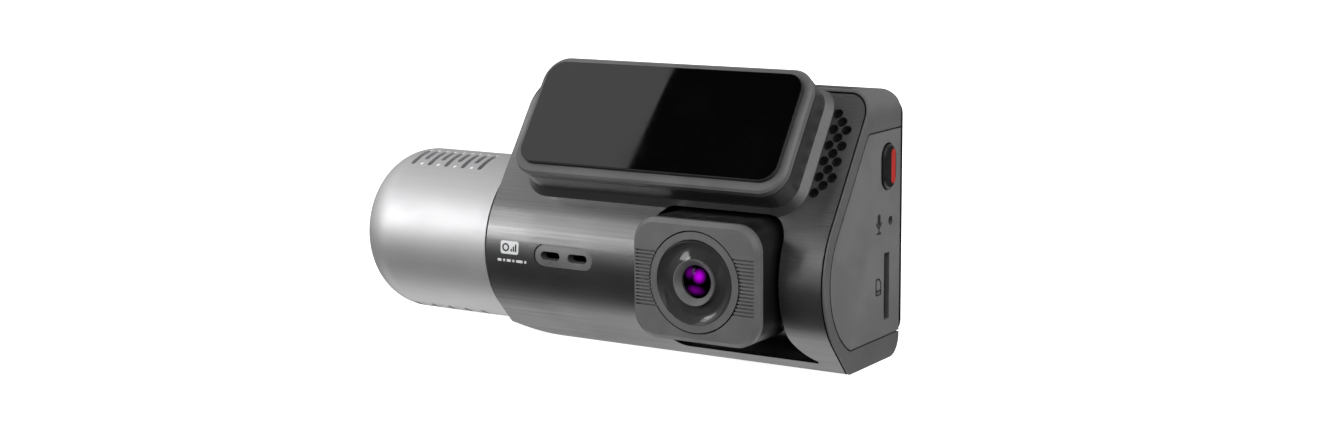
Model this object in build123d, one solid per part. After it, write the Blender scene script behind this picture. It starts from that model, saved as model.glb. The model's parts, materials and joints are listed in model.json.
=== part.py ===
from build123d import *
import math
import os

# Dash camera: a dark body with a full-width touch display at the rear, a silver drum with the cabin
# camera on its left end, a tilting road camera in its front and a windscreen bracket on its slope.
# Everything is drawn about the drum's axis: X runs along that axis from the body's left face, -Y is
# the front (towards the road) and +Z is up. SHIFT moves it all to the middle of the bounding box's base.

# ---------------------------------------------------------------- driving dimensions (mm)
# Body
BODY_LENGTH = 72.3
BODY_RADIUS = 16.65          # front arc, about the drum's axis
SLOPE_DEG = 55.0             # upper front face, from horizontal
CHIN_DEG = 42.0              # where the arc runs into the straight chin, below the front
TOP_FRONT_Z = 32.4           # height of the top's front edge over the axis
TOP_FALL_DEG = 2.5           # the top falls towards the rear
REAR_Y = 12.8
FLOOR_Z = -17.1
REAR_TOP_ROUND = 2.5
REAR_FLOOR_ROUND = 3.6
CHIN_ROUND = 1.0
CORNER_RIGHT = 4.6           # top corners seen from the front
CORNER_LEFT = 6.0
LIFT_LEFT = 2.1              # the underside sweeps up towards the drum
LIFT_LENGTH = 12.0
SKIN = 1.5                   # front shell
SEAM = 0.1                   # gap between inner neighbours
COVER_SEAM = 0.32            # shadow line round the front shell and the side cover
RIM = 0.35                   # housing edge that frames the front shell
WALL_LEFT = 2.2
WALL_RIGHT = 2.3
WALL_TOP = 2.4
WALL_FLOOR = 1.6
WALL_REAR = 1.8

# Side cover on the right end
COVER_EDGE = 2.37            # cover inside the body's front arc
COVER_DROP = 7.6             # cover's top under the top's front edge
COVER_LIFT = 4.46            # cover's foot over the floor
COVER_THICK = 1.2
COVER_ROUND_TOP = 1.6
COVER_ROUND_FOOT = 1.2

# Display
GLASS_THICK = 1.3
GLASS_DROP = 2.1             # under the top's front edge
GLASS_LIFT = 3.1             # over the floor
GLASS_ROUND = 3.0
GLASS_EDGE = 0.1             # glass stops short of the body's sides
PANEL_BORDER = 3.6           # glass edge to display module
PANEL_DEPTH = 2.7
PANEL_DROP = 1.9             # glass edge to display module, above
PANEL_LIFT = 1.6             # and below

# Drum with the cabin camera
DRUM_RADIUS = 16.0
DRUM_LENGTH = 34.4           # body's left face to the drum's far end
DRUM_ROUND = 9.6
DRUM_WALL = 1.4
DRUM_GAP = 0.85              # shadow gap between drum and body
SHAFT_RADIUS = 5.0
SHAFT_BORE = 3.0
SHAFT_REACH = 6.5            # shaft end inside the body
NUT_RADIUS = 7.5
RUN_FIT = 0.04               # radial clearance of the turning fits

# Drum vents: columns across the drum, alternately one long slot, or a short slot and a dot
VENT_COLUMNS = 9
VENT_FROM_END = 9.9
VENT_PITCH = 2.05
VENT_WIDTH = 1.0
VENT_LOW_DEG = 62.5          # angles from the front, about the drum's axis
VENT_HIGH_DEG = 80.0
VENT_DOT_DEG = 84.0
VENT_SHORT_DEG = 69.5

# Road camera pod
POD_FROM_RIGHT = 22.7        # pod's middle to the body's right face
POD_WIDTH = 25.8
POD_HEIGHT = 21.8
POD_ROUND = 4.8
POD_PROUD = 5.75             # faceplate in front of the body's front arc
POD_WALL = 1.4
PLATE_THICK = 1.8
PLATE_CHAMFER = 0.8
BARREL_SINK = 2.45           # barrel behind the body's front arc
BARREL_SHOULDER = 0.55       # barrel wider than the pod, each side
BARREL_LOW_DEG = -78.0
BARREL_HIGH_DEG = 66.0
TRUNNION_RADIUS = 3.0
RING_RADIUS = 9.0
BOWL_RADIUS = 7.7
BOWL_DEPTH = 4.3
BOWL_DIP_RADIUS = 6.05       # where the dish is deepest
BOWL_DIP = 0.9
BOWL_RISE = 0.42             # back up to the lens rim
GROOVES = 16
GROOVE_PITCH = 0.65
GROOVE_WIDTH = 0.3
GROOVE_DEPTH = 0.5
RING_SEAM = 0.26             # shadow line round the ring
LENS_RADIUS = 3.9
RIM_WIDER = 0.25             # lens rim over the lens
RIM_LIP = 0.15
RIM_PROUD = 0.2              # in front of the faceplate
CONE_DEPTH = 1.06
PUPIL_INSET = 0.9            # hole behind the cone, under the lens's radius
BARREL_SETBACK = 1.7
THREAD_RADIUS = 6.0
THREAD_Y = -16.5
THREAD_LENGTH = 8.0
OPENING_SIDE = 0.85          # pod side to the opening in the front shell
OPENING_OVER = 0.65          # opening over the pod's top
OPENING_LIFT = 1.8           # opening over the floor
OPENING_ROUND = 4.4
OPENING_FLARE = 6.2          # arc that sweeps the opening's lower right corner outwards
FLARE_REACH = 3.8            # how far it reaches before its tip
CHEEK = 2.4
CHEEK_GAP = 0.35
POST_X = 8.7                 # lens holder's posts, from the lens axis
POST_Z = 6.6
HOLDER_HALF_X = 10.0
HOLDER_HALF_Z = 8.0
HOLDER_BACK_Y = -3.8         # where the sensor board lies

# Bracket pedestal on the slope: x along the body, s up the slope, d out of it
PEDESTAL_X0 = 6.6
PEDESTAL_FROM_RIGHT = 8.1
PEDESTAL_S0 = 2.9
PEDESTAL_S1 = 27.6
PEDESTAL_ROUND = 4.8
PEDESTAL_HEIGHT = 5.55       # over the slope
PEDESTAL_FLARE = 1.2
BRACKET_GAP = 0.2
BRACKET_THICK = 1.6
PAD_MARGIN_X = 1.5
PAD_MARGIN_S = 1.9
PAD_THICK = 0.85
LINER_THICK = 0.15
PAD_ROUND = 3.4
HOOK_LENGTH = 7.5
HOOK_STEM = 3.0
HOOK_HEAD = 5.2
HOOK_REACH = 2.8
HOOK_HEAD_THICK = 1.3
HOOK_FIT = 0.1
BRACKET_TRAVEL = 8.0
SOCKET_THICK = 3.6

# Speaker openings on the slope
SPEAKER_HOLE = 1.9
SPEAKER_PITCH = 3.16
SPEAKER_COLUMNS = 3
SPEAKER_FROM_RIGHT = 5.9
SPEAKER_STEP = 1.3
SPEAKER_S = 7.2
BASKET_FROM_RIGHT = (15.7, 2.9)
BASKET_S = (9.9, 20.4)
BASKET_DEPTH = 3.4

# Front vent insert
INSERT_X = 17.6
INSERT_Z = 0.4
INSERT_LENGTH = 13.2
INSERT_HEIGHT = 4.3
INSERT_SLOT = 4.3
INSERT_SLOT_HEIGHT = 1.6
INSERT_SINK = 0.3

# Right end controls, as (y, z) on the end face
KEY_Y = 7.68
KEY_DROP = 14.04             # key's middle under the top's front edge
KEY_WIDTH = 5.4
KEY_HEIGHT = 8.7
KEY_GAP = 0.25
KEY_PROUD = 0.6
KEY_FLANGE = 0.75
STRIPE_WIDTH = 1.7
STRIPE_HEIGHT = 6.3
MIC_Y = 8.9
MIC_Z = 8.3
MIC_HOLE = 0.85
CARD_Y = 7.55
CARD_Z = -3.55
CARD_LENGTH = 15.0
CARD_WIDTH = 11.0
CARD_THICK = 0.75
CARD_SINK = 0.7
CARD_SLOT_WIDTH = 2.1
CARD_SLOT_HEIGHT = 12.3

# Ports in the top
PORT_RECESS = 1.2           # below the top's front edge
USB_FROM_RIGHT = 21.8
USB_WIDTH = 8.94
USB_DEPTH = 3.2
USB_LENGTH = 7.2
AV_FROM_RIGHT = 11.3
AV_WIDTH = 5.6
AV_BORE = 1.3
PORT_FIT = 0.08

# Inside
BOARD_Y = 5.2                # front face of the main board
BOARD_THICK = 1.2
BOARD_X0 = 8.0
BOARD_FROM_RIGHT = 3.9
BOARD_NOTCH_FROM_RIGHT = 6.5
BOARD_LIFT = 6.7
BOARD_DROP = 3.8
SHIELD_X0 = 10.0
SHIELD_Z0 = -9.5
SHIELD_SIDE = 20.0
SHIELD_DEPTH = 2.2
SHIELD_WALL = 0.3
CHIP_SIDE = 12.0
CHIP_THICK = 1.2
GAP_PAD_THICK = 0.6
FINS = 8
FIN_THICK = 0.8
FIN_HEIGHT = 2.8
CELL_RADIUS = 4.0            # supercapacitors
CELL_LENGTH = 21.6
CELL_X0 = 9.4
CELL_Y = -6.3
CELL_Z = (-5.0, 4.6)
ANTENNA_SIDE = 18.0
ANTENNA_FROM_PEDESTAL = 5.4
ANTENNA_S0 = 6.0
FRAME_Y = 9.0                # front face of the inner frame
FRAME_THICK = 1.0
BOSS_RADIUS = 1.7
BOSS_END_Y = 8.0
SCREW_RADIUS = 0.8
SCREW_HEAD = 1.6

# Cabin camera in the drum
WINDOW_FAR = 7.2             # window's end to the drum's far end
WINDOW_NEAR = 6.4            # window's end to the body
WINDOW_HALF = 5.2
WINDOW_ROUND = 2.4
WINDOW_SINK = 1.1            # window's face under the drum's side
WINDOW_THICK = 1.2
CABIN_X = -13.2
CABIN_BARREL_RADIUS = 3.55
CABIN_GLASS_RADIUS = 2.9
CABIN_BOARD_Y = 4.8
TONGUE_THICK = 1.4
LAMP_RADIUS = 1.25
CABIN_FOOT_HALF = 4.2
LAMP_INSET = 2.6             # first lamps from the window's far end
LAMP_PITCH = 4.0
LAMP_Z = 2.4

# ---------------------------------------------------------------- derived sizes
SLOPE = math.radians(SLOPE_DEG)
CHIN = math.radians(CHIN_DEG)
FALL = math.radians(TOP_FALL_DEG)
OUT = (0.0, -math.sin(SLOPE), math.cos(SLOPE))
SLOPE_PLANE = Plane(origin=(0, 0, 0), x_dir=(1, 0, 0), z_dir=OUT)
FRONT_PLANE = Plane(origin=(0, 0, 0), x_dir=(1, 0, 0), z_dir=(0, -1, 0))
END_PLANE = Plane(origin=(0, 0, 0), x_dir=(0, 1, 0), z_dir=(1, 0, 0))
INNER_RADIUS = BODY_RADIUS - SKIN
COVER_RADIUS = BODY_RADIUS - COVER_EDGE
COVER_TOP_Z = TOP_FRONT_Z - COVER_DROP
COVER_FLOOR_Z = FLOOR_Z + COVER_LIFT
GLASS_TOP_Z = TOP_FRONT_Z - GLASS_DROP
GLASS_FLOOR_Z = FLOOR_Z + GLASS_LIFT
VENT_FIRST = VENT_FROM_END - DRUM_LENGTH
POD_X = BODY_LENGTH - POD_FROM_RIGHT
POD_FRONT_Y = -BODY_RADIUS - POD_PROUD
BARREL_RADIUS = BODY_RADIUS - BARREL_SINK
BARREL_WIDTH = POD_WIDTH + 2 * BARREL_SHOULDER
RIM_RADIUS = LENS_RADIUS + RIM_WIDER
PUPIL_RADIUS = LENS_RADIUS - PUPIL_INSET
CHEEK_REACH = BARREL_WIDTH / 2 + CHEEK_GAP
OPENING_TOP_Z = POD_HEIGHT / 2 + OPENING_OVER
OPENING_FLOOR_Z = FLOOR_Z + OPENING_LIFT
PEDESTAL_X1 = BODY_LENGTH - PEDESTAL_FROM_RIGHT
PEDESTAL_TOP = BODY_RADIUS + PEDESTAL_HEIGHT
SPEAKER_X = BODY_LENGTH - SPEAKER_FROM_RIGHT
KEY_Z = TOP_FRONT_Z - KEY_DROP
USB_X = BODY_LENGTH - USB_FROM_RIGHT
AV_X = BODY_LENGTH - AV_FROM_RIGHT
BOARD_X1 = BODY_LENGTH - BOARD_FROM_RIGHT
BOARD_Z0 = FLOOR_Z + BOARD_LIFT
BOARD_Z1 = TOP_FRONT_Z - BOARD_DROP
WINDOW_FACE_Y = DRUM_RADIUS - WINDOW_SINK
GLASS_BACK_Y = REAR_Y + GLASS_THICK
BOARD_BACK_Y = BOARD_Y + BOARD_THICK
FRAME_BACK_Y = FRAME_Y + FRAME_THICK
INNER_RIGHT = BODY_LENGTH - WALL_RIGHT
COVER_BACK_X = BODY_LENGTH - COVER_THICK
PLATE_BACK_Y = POD_FRONT_Y + PLATE_THICK
BRACKET_FLOOR = PEDESTAL_TOP + BRACKET_GAP
BRACKET_TOP = BRACKET_FLOOR + BRACKET_THICK
SOCKET_FLOOR = PEDESTAL_TOP - SOCKET_THICK
KEY_FACE_X = BODY_LENGTH + KEY_PROUD
DRUM_FACE_X = -DRUM_GAP
SHIFT = Pos(
    -(KEY_FACE_X - DRUM_LENGTH) / 2,
    -(POD_FRONT_Y + DRUM_RADIUS) / 2,
    -FLOOR_Z,
)


# ---------------------------------------------------------------- small tools
def block(x, y, z):
    """A box from three (low, high) pairs."""
    size = [b - a for a, b in (x, y, z)]
    middle = [(a + b) / 2 for a, b in (x, y, z)]
    return Pos(*middle) * Box(*size)


def slab(plane, sketch, low, high):
    """A sketch on a plane, made solid between two heights over it."""
    return extrude(plane.offset(low) * sketch, amount=high - low)


def outline(x0, x1, y0, y1, radius):
    """A rounded rectangle from its sides."""
    return Pos((x0 + x1) / 2, (y0 + y1) / 2) * RectangleRounded(x1 - x0, y1 - y0, radius)


def pill(x, y, width, height):
    """A slot with round ends, upright or lying."""
    if width > height:
        return Pos(x, y) * SlotOverall(width, height)
    return Pos(x, y) * Rot(0, 0, 90) * SlotOverall(height, width)


def rod_x(radius, x0, x1, y=0.0, z=0.0):
    """A round bar along X."""
    return slab(END_PLANE, Pos(y, z) * Circle(radius), x0, x1)


def rod_y(radius, y0, y1, x, z):
    """A round bar along Y."""
    return slab(FRONT_PLANE, Pos(x, z) * Circle(radius), -y1, -y0)


def front_slab(sketch, y0, y1):
    """A sketch drawn in x and z, made solid between two values of y."""
    return slab(FRONT_PLANE, sketch, -y1, -y0)


def round_corner(sketch, point, radius):
    """Rounds the sketch's corner nearest to a point."""
    corner = sketch.vertices().sort_by_distance(Vector(point[0], point[1], 0))[0]
    return fillet(corner, radius)


def meet(a, b):
    """Where two sides meet, each given as its outward normal's y and z and its distance."""
    det = a[0] * b[1] - a[1] * b[0]
    return ((a[2] * b[1] - b[2] * a[1]) / det, (a[0] * b[2] - b[0] * a[2]) / det)


def section(front=0.0, top=0.0, rear=0.0, floor=0.0, rounds=True):
    """The body's section in y and z, with each side moved inwards by its own inset."""
    radius = BODY_RADIUS - front
    top_y = (math.cos(SLOPE) * TOP_FRONT_Z - BODY_RADIUS) / math.sin(SLOPE)
    slope = (-math.sin(SLOPE), math.cos(SLOPE), radius)
    height = math.sin(FALL) * top_y + math.cos(FALL) * TOP_FRONT_Z
    roof = (math.sin(FALL), math.cos(FALL), height - top)
    back = (1.0, 0.0, REAR_Y - rear)
    base = (0.0, -1.0, -FLOOR_Z - floor)
    chin = (-math.cos(CHIN), -math.sin(CHIN), radius)
    slope_foot = (slope[0] * radius, slope[1] * radius)
    chin_head = (chin[0] * radius, chin[1] * radius)
    corners = [meet(slope, roof), meet(roof, back), meet(back, base), meet(base, chin)]
    sides = [
        Line(slope_foot, corners[0]),
        Line(corners[0], corners[1]),
        Line(corners[1], corners[2]),
        Line(corners[2], corners[3]),
        Line(corners[3], chin_head),
        ThreePointArc(chin_head, (-radius, 0), slope_foot),
    ]
    shape = make_face(Curve() + sides)
    if rounds:
        shape = round_corner(shape, corners[1], REAR_TOP_ROUND)
        shape = round_corner(shape, corners[2], REAR_FLOOR_ROUND)
        shape = round_corner(shape, corners[3], CHIN_ROUND)
    return shape


def front_view(side=0.0, top=0.0):
    """The body seen from the front, with its right side and its top moved inwards."""
    x1 = BODY_LENGTH - side
    z1 = TOP_FRONT_Z - top
    z0 = FLOOR_Z
    sweep = (LIFT_LENGTH**2 + LIFT_LEFT**2) / (2 * LIFT_LEFT)
    half = math.asin(LIFT_LENGTH / sweep) / 2
    through = (LIFT_LENGTH - sweep * math.sin(half), z0 + sweep * (1 - math.cos(half)))
    sides = [
        ThreePointArc((0, z0 + LIFT_LEFT), through, (LIFT_LENGTH, z0)),
        Line((LIFT_LENGTH, z0), (x1, z0)),
        Line((x1, z0), (x1, z1)),
        Line((x1, z1), (0, z1)),
        Line((0, z1), (0, z0 + LIFT_LEFT)),
    ]
    shape = make_face(Curve() + sides)
    shape = round_corner(shape, (x1, z1), CORNER_RIGHT - side)
    shape = round_corner(shape, (0, z1), CORNER_LEFT)
    return shape


def body_form(side=0.0, top=0.0):
    """The body's whole outer form, and its round neck beside the drum."""
    bar = slab(END_PLANE, section(), 0, BODY_LENGTH)
    view = front_slab(front_view(side, top), -2 * BODY_RADIUS, 2 * BODY_RADIUS)
    front_low = block((0, LIFT_LENGTH), (-BODY_RADIUS, 0), (FLOOR_Z, 0))
    neck = rod_x(BODY_RADIUS, 0, LIFT_LENGTH) & front_low
    return (bar & view) + neck


def behind_skin(inset):
    """Everything behind the front face by an inset, as long as the body."""
    wide = section(front=inset, top=-10, rear=-10, floor=-10, rounds=False)
    return slab(END_PLANE, wide, -1, BODY_LENGTH + 1)


def pedestal_outline(inset=0.0):
    """The bracket pedestal's outline on the slope."""
    return outline(
        PEDESTAL_X0 + inset,
        PEDESTAL_X1 - inset,
        PEDESTAL_S0 + inset,
        PEDESTAL_S1 - inset,
        PEDESTAL_ROUND - inset,
    )


def bosses():
    """Where the inner frame is screwed to the front shell, as (x, z)."""
    left = WALL_LEFT + 2 * BOSS_RADIUS
    right = INNER_RIGHT - BOSS_RADIUS - 0.5
    return [
        (left, TOP_FRONT_Z - 7.9),
        (left, FLOOR_Z + 5.9),
        (right, TOP_FRONT_Z - 5.6),
        (right, FLOOR_Z + 4.4),
    ]


def cover_section(inset=0.0):
    """The side cover's outline in y and z."""
    radius = COVER_RADIUS - inset
    slope = (-math.sin(SLOPE), math.cos(SLOPE), radius)
    roof = (0.0, 1.0, COVER_TOP_Z - inset)
    back = (1.0, 0.0, REAR_Y)
    base = (0.0, -1.0, -COVER_FLOOR_Z - inset)
    top_left = meet(slope, roof)
    low_y = -math.sqrt(radius**2 - base[2] ** 2)
    sides = [
        Line((slope[0] * radius, slope[1] * radius), top_left),
        Line(top_left, meet(roof, back)),
        Line(meet(roof, back), meet(back, base)),
        Line(meet(back, base), (low_y, -base[2])),
        ThreePointArc((low_y, -base[2]), (-radius, 0), (slope[0] * radius, slope[1] * radius)),
    ]
    shape = make_face(Curve() + sides)
    shape = round_corner(shape, top_left, COVER_ROUND_TOP)
    return round_corner(shape, (low_y, -base[2]), COVER_ROUND_FOOT)


# ---------------------------------------------------------------- body
def rear_housing():
    """The moulded tub: end walls, top, floor and the frame round the display."""
    tub = body_form()
    tub -= body_form(side=RIM, top=RIM) - behind_skin(SKIN + SEAM)
    inside = section(front=-10, top=WALL_TOP, rear=WALL_REAR, floor=WALL_FLOOR, rounds=False)
    tub -= slab(END_PLANE, inside, WALL_LEFT, INNER_RIGHT)
    panel = panel_outline(-SEAM)
    tub -= front_slab(panel, 0, REAR_Y + 1)
    tub -= rod_x(SHAFT_RADIUS + RUN_FIT, -1, WALL_LEFT + 1)
    tub -= slab(END_PLANE, cover_section(-COVER_SEAM), COVER_BACK_X, BODY_LENGTH + 1)
    key_room = pill(KEY_Y, KEY_Z, KEY_WIDTH + 2.0, KEY_HEIGHT + 2.0)
    tub -= slab(END_PLANE, key_room, INNER_RIGHT - 1, BODY_LENGTH)
    tub -= rod_x(MIC_HOLE + 1.1, INNER_RIGHT - 1, BODY_LENGTH, MIC_Y, MIC_Z)
    tub -= card_way(0.3, INNER_RIGHT - 1)
    recess_z = port_floor_z()
    tub -= block((USB_X - 7.0, AV_X + 5.0), (4.6, 10.8), (recess_z, TOP_FRONT_Z + 1))
    tub -= port_hole()
    tub -= Pos(AV_X, av_axis_y(), recess_z) * Cylinder(AV_BORE + 0.6, 12)
    return tub


def port_floor_z():
    """The recess floor round the ports in the top."""
    return TOP_FRONT_Z - PORT_RECESS


def usb_axis_y():
    """The power socket's middle, just clear of the board."""
    return BOARD_BACK_Y + USB_DEPTH / 2 + 0.05


def av_axis_y():
    """The rear camera jack's middle."""
    return BOARD_BACK_Y + AV_WIDTH / 4 + 0.35


def port_hole():
    """The power socket's opening through the top."""
    hole = SlotOverall(USB_WIDTH + 2 * PORT_FIT, USB_DEPTH + 2 * PORT_FIT)
    return slab(Plane.XY, Pos(USB_X, usb_axis_y()) * hole, TOP_FRONT_Z - 8, TOP_FRONT_Z + 1)


def front_shell():
    """The brushed front cover with the pedestal, openings and screw bosses."""
    shell = body_form(side=RIM + COVER_SEAM, top=RIM + COVER_SEAM) - behind_skin(SKIN)
    wall = slab(SLOPE_PLANE, pedestal_outline(), BODY_RADIUS, PEDESTAL_TOP)
    flare_face = SLOPE_PLANE.offset(BODY_RADIUS) * pedestal_outline(-PEDESTAL_FLARE)
    flare = extrude(flare_face, amount=PEDESTAL_FLARE + 0.3, taper=40)
    below_top = outline(0, BODY_LENGTH, -5, PEDESTAL_S1 - 0.5, 0.4)
    flare &= slab(SLOPE_PLANE, below_top, 0, PEDESTAL_TOP)
    shell += wall
    shell += flare
    shell -= slab(SLOPE_PLANE, pedestal_outline(SKIN), INNER_RADIUS - 2, PEDESTAL_TOP + 1)
    for x, z in bosses():
        post = rod_y(BOSS_RADIUS, -BODY_RADIUS, BOSS_END_Y, x, z) & behind_skin(SKIN - 0.2)
        shell += post
        shell -= rod_y(SCREW_RADIUS, BOSS_END_Y - 5.5, BOSS_END_Y + 1, x, z)
    shell -= front_slab(lens_opening(), -30, -3)
    shell -= front_slab(pill(INSERT_X, INSERT_Z, INSERT_LENGTH, INSERT_HEIGHT), -30, -5)
    shell -= speaker_holes(SPEAKER_HOLE / 2, INNER_RADIUS - 1, BODY_RADIUS + 4)
    return shell


def lens_opening():
    """The opening that the road camera looks through."""
    half = POD_WIDTH / 2 + OPENING_SIDE
    side = POD_X + half
    window = outline(POD_X - half, side, OPENING_FLOOR_Z, OPENING_TOP_Z, OPENING_ROUND)
    top = OPENING_FLOOR_Z + OPENING_FLARE
    foot = outline(side - OPENING_ROUND, side + FLARE_REACH, OPENING_FLOOR_Z, top, 0.2)
    return window + (foot - Pos(side + OPENING_FLARE, top) * Circle(OPENING_FLARE))


def speaker_holes(radius, low, high):
    """Three staggered rows of round holes along the slope's right edge."""
    holes = Sketch()
    for column in range(SPEAKER_COLUMNS):
        for row in range(6 - column):
            s = SPEAKER_S + (row + column / 2) * SPEAKER_PITCH
            holes += Pos(SPEAKER_X + column * SPEAKER_STEP, s) * Circle(radius)
    return slab(SLOPE_PLANE, holes, low, high)


def side_cover():
    """The inset cover on the right end, with the key, microphone and card openings."""
    cover = slab(END_PLANE, cover_section(), COVER_BACK_X, BODY_LENGTH)
    cover -= slab(END_PLANE, pill(KEY_Y, KEY_Z, KEY_WIDTH, KEY_HEIGHT), COVER_BACK_X - 1, BODY_LENGTH + 1)
    cover -= rod_x(MIC_HOLE, COVER_BACK_X - 1, BODY_LENGTH + 1, MIC_Y, MIC_Z)
    cover -= card_way(0.0, COVER_BACK_X - 1)
    return cover


def card_way(extra, x0):
    """The slot that the memory card passes through."""
    y = (CARD_Y - CARD_SLOT_WIDTH / 2 - extra, CARD_Y + CARD_SLOT_WIDTH / 2 + extra)
    z = (CARD_Z - CARD_SLOT_HEIGHT / 2 - extra, CARD_Z + CARD_SLOT_HEIGHT / 2 + extra)
    return block((x0, BODY_LENGTH + 1), y, z)


def vent_insert():
    """The pill-shaped insert with two slots, left of the lens."""
    ring = rod_x(BODY_RADIUS - INSERT_SINK, 1, 40) - rod_x(INNER_RADIUS - 0.8, 0, 41)
    core_shape = pill(INSERT_X, INSERT_Z, INSERT_LENGTH - 2 * SEAM, INSERT_HEIGHT - 2 * SEAM)
    core = front_slab(core_shape, -30, -5)
    lip = rod_x(INNER_RADIUS - SEAM / 2, 1, 40) - rod_x(INNER_RADIUS - 0.8, 0, 41)
    lip &= front_slab(pill(INSERT_X, INSERT_Z, INSERT_LENGTH + 2, INSERT_HEIGHT + 2), -30, -5)
    insert = (ring & core) + lip
    for side in (-1, 1):
        x = INSERT_X + side * (INSERT_SLOT / 2 + 0.9)
        insert -= front_slab(pill(x, INSERT_Z, INSERT_SLOT, INSERT_SLOT_HEIGHT), -30, -5)
    return insert


# ---------------------------------------------------------------- display and inner frame
def panel_outline(inset=0.0):
    """The display module's outline seen from the front."""
    return outline(
        PANEL_BORDER + inset,
        BODY_LENGTH - PANEL_BORDER - inset,
        GLASS_FLOOR_Z + PANEL_LIFT + inset,
        GLASS_TOP_Z - PANEL_DROP - inset,
        0.8,
    )


def display_glass():
    """The cover glass that makes the whole rear face."""
    face = outline(GLASS_EDGE, BODY_LENGTH - GLASS_EDGE, GLASS_FLOOR_Z, GLASS_TOP_Z, GLASS_ROUND)
    glass = front_slab(face, REAR_Y, GLASS_BACK_Y)
    edges = glass.faces().sort_by(Axis.Y)[-1].edges()
    return chamfer(edges, 0.3)


def display_panel():
    """The display module behind the glass."""
    return front_slab(panel_outline(), REAR_Y - PANEL_DEPTH, REAR_Y)


def inner_frame():
    """The frame that carries the boards and the display, screwed to the front shell."""
    gap = SEAM
    x = (WALL_LEFT + gap, INNER_RIGHT - gap)
    z = (FLOOR_Z + WALL_FLOOR + gap, TOP_FRONT_Z - WALL_TOP - 0.6)
    frame = block(x, (FRAME_Y, FRAME_BACK_Y), z)
    rim = block(x, (FRAME_BACK_Y, REAR_Y - WALL_REAR), z)
    rim -= block((x[0] + 1.0, x[1] - 1.0), (FRAME_Y, REAR_Y), (GLASS_FLOOR_Z + 1.0, GLASS_TOP_Z - 1.2))
    frame += rim
    port_room = (port_floor_z() - USB_LENGTH - 4.0, TOP_FRONT_Z)
    frame -= block((USB_X - 6.5, AV_X + 4.5), (FRAME_Y - 1, REAR_Y), port_room)
    frame -= block((INNER_RIGHT - 4.0, BODY_LENGTH), (FRAME_Y - 1, REAR_Y), (4.0, KEY_Z + 6.04))
    frame -= block((18.0, 40.0), (FRAME_Y - 1, FRAME_BACK_Y + 0.01), (6.0, 22.0))
    for px, pz in board_posts():
        frame += rod_y(1.6, BOARD_BACK_Y, FRAME_Y, px, pz)
    for px, pz in bosses():
        frame += rod_y(BOSS_RADIUS, BOSS_END_Y, FRAME_Y, px, pz)
        frame -= rod_y(SCREW_RADIUS + 0.05, BOSS_END_Y - 1, REAR_Y, px, pz)
        frame -= rod_y(SCREW_HEAD - 0.1, FRAME_BACK_Y - 0.9, REAR_Y, px, pz)
    return frame


def board_posts():
    """Where the inner frame's posts meet the main board, as (x, z)."""
    left = BOARD_X0 + 3.0
    return [
        (left, BOARD_Z0 + 2.4),
        (left, BOARD_Z1 - 2.6),
        (POD_X - 5.6, 18.5),
        (POD_X - 3.6, -8.2),
    ]


def frame_screws():
    """Four screws through the inner frame into the front shell's bosses."""
    screws = []
    for x, z in bosses():
        shank = rod_y(SCREW_RADIUS, BOSS_END_Y - 4.5, FRAME_BACK_Y - 0.9, x, z)
        head = rod_y(SCREW_HEAD - 0.2, FRAME_BACK_Y - 0.9, FRAME_BACK_Y - 0.05, x, z)
        head -= block((x - 1.0, x + 1.0), (FRAME_BACK_Y - 0.5, FRAME_BACK_Y), (z - 0.2, z + 0.2))
        screws.append(shank + head)
    return Compound(screws)


# ---------------------------------------------------------------- boards and electronics
def main_board():
    """The main circuit board, narrower where the key board stands."""
    board = block((BOARD_X0, BOARD_X1), (BOARD_Y, BOARD_BACK_Y), (BOARD_Z0, BOARD_Z1))
    notch = BODY_LENGTH - BOARD_NOTCH_FROM_RIGHT
    board -= block((notch, BOARD_X1 + 1), (0, 10), (4.4, BOARD_Z1 + 1))
    for x, z in cradle_screw_points():
        board -= rod_y(SCREW_RADIUS, BOARD_Y - 1, BOARD_BACK_Y + 1, x, z)
    return board


def cradle_screw_points():
    """Where the board is screwed to the lens cradle, as (x, z)."""
    reach = CHEEK_REACH + CHEEK / 2
    return [
        (POD_X - reach, 9.6),
        (POD_X - reach, -7.6),
        (POD_X + reach - 0.4, 9.6),
        (POD_X + 2.4, -8.5),
    ]


def board_screws():
    """Four screws that hold the main board on the lens cradle."""
    screws = []
    for x, z in cradle_screw_points():
        shank = rod_y(SCREW_RADIUS - 0.1, BOARD_Y - 3, BOARD_BACK_Y, x, z)
        head = rod_y(1.3, BOARD_BACK_Y, BOARD_BACK_Y + 0.8, x, z)
        screws.append(shank + head)
    return Compound(screws)


def processor_shield():
    """The tin shield over the processor."""
    y = BOARD_Y - SHIELD_DEPTH
    inner = shield_room(SHIELD_WALL, y + SHIELD_WALL, BOARD_Y + 1)
    return shield_room(0.0, y, BOARD_Y) - inner


def shield_room(inset, y0, y1):
    """A block as wide and high as the shield, inset on each side."""
    x = (SHIELD_X0 + inset, SHIELD_X0 + SHIELD_SIDE - inset)
    z = (SHIELD_Z0 + inset, SHIELD_Z0 + SHIELD_SIDE - inset)
    return block(x, (y0, y1), z)


def processor():
    """The processor package under the shield."""
    return shield_room((SHIELD_SIDE - CHIP_SIDE) / 2, BOARD_Y - CHIP_THICK, BOARD_Y)


def thermal_pad():
    """The soft pad between the shield and the heat sink."""
    y = BOARD_Y - SHIELD_DEPTH
    return shield_room(1.0, y - GAP_PAD_THICK, y)


def heat_sink():
    """The finned aluminium heat sink."""
    back = BOARD_Y - SHIELD_DEPTH - GAP_PAD_THICK
    edge = 0.5
    base = back - 1.2
    sink = shield_room(-edge, base, back)
    x0 = SHIELD_X0 - edge
    pitch = (SHIELD_SIDE + 2 * edge - FIN_THICK) / (FINS - 1)
    for fin in range(FINS):
        x = x0 + fin * pitch
        z = (SHIELD_Z0 - edge, SHIELD_Z0 + SHIELD_SIDE + edge)
        sink += block((x, x + FIN_THICK), (base - FIN_HEIGHT, base), z)
    return sink


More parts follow.
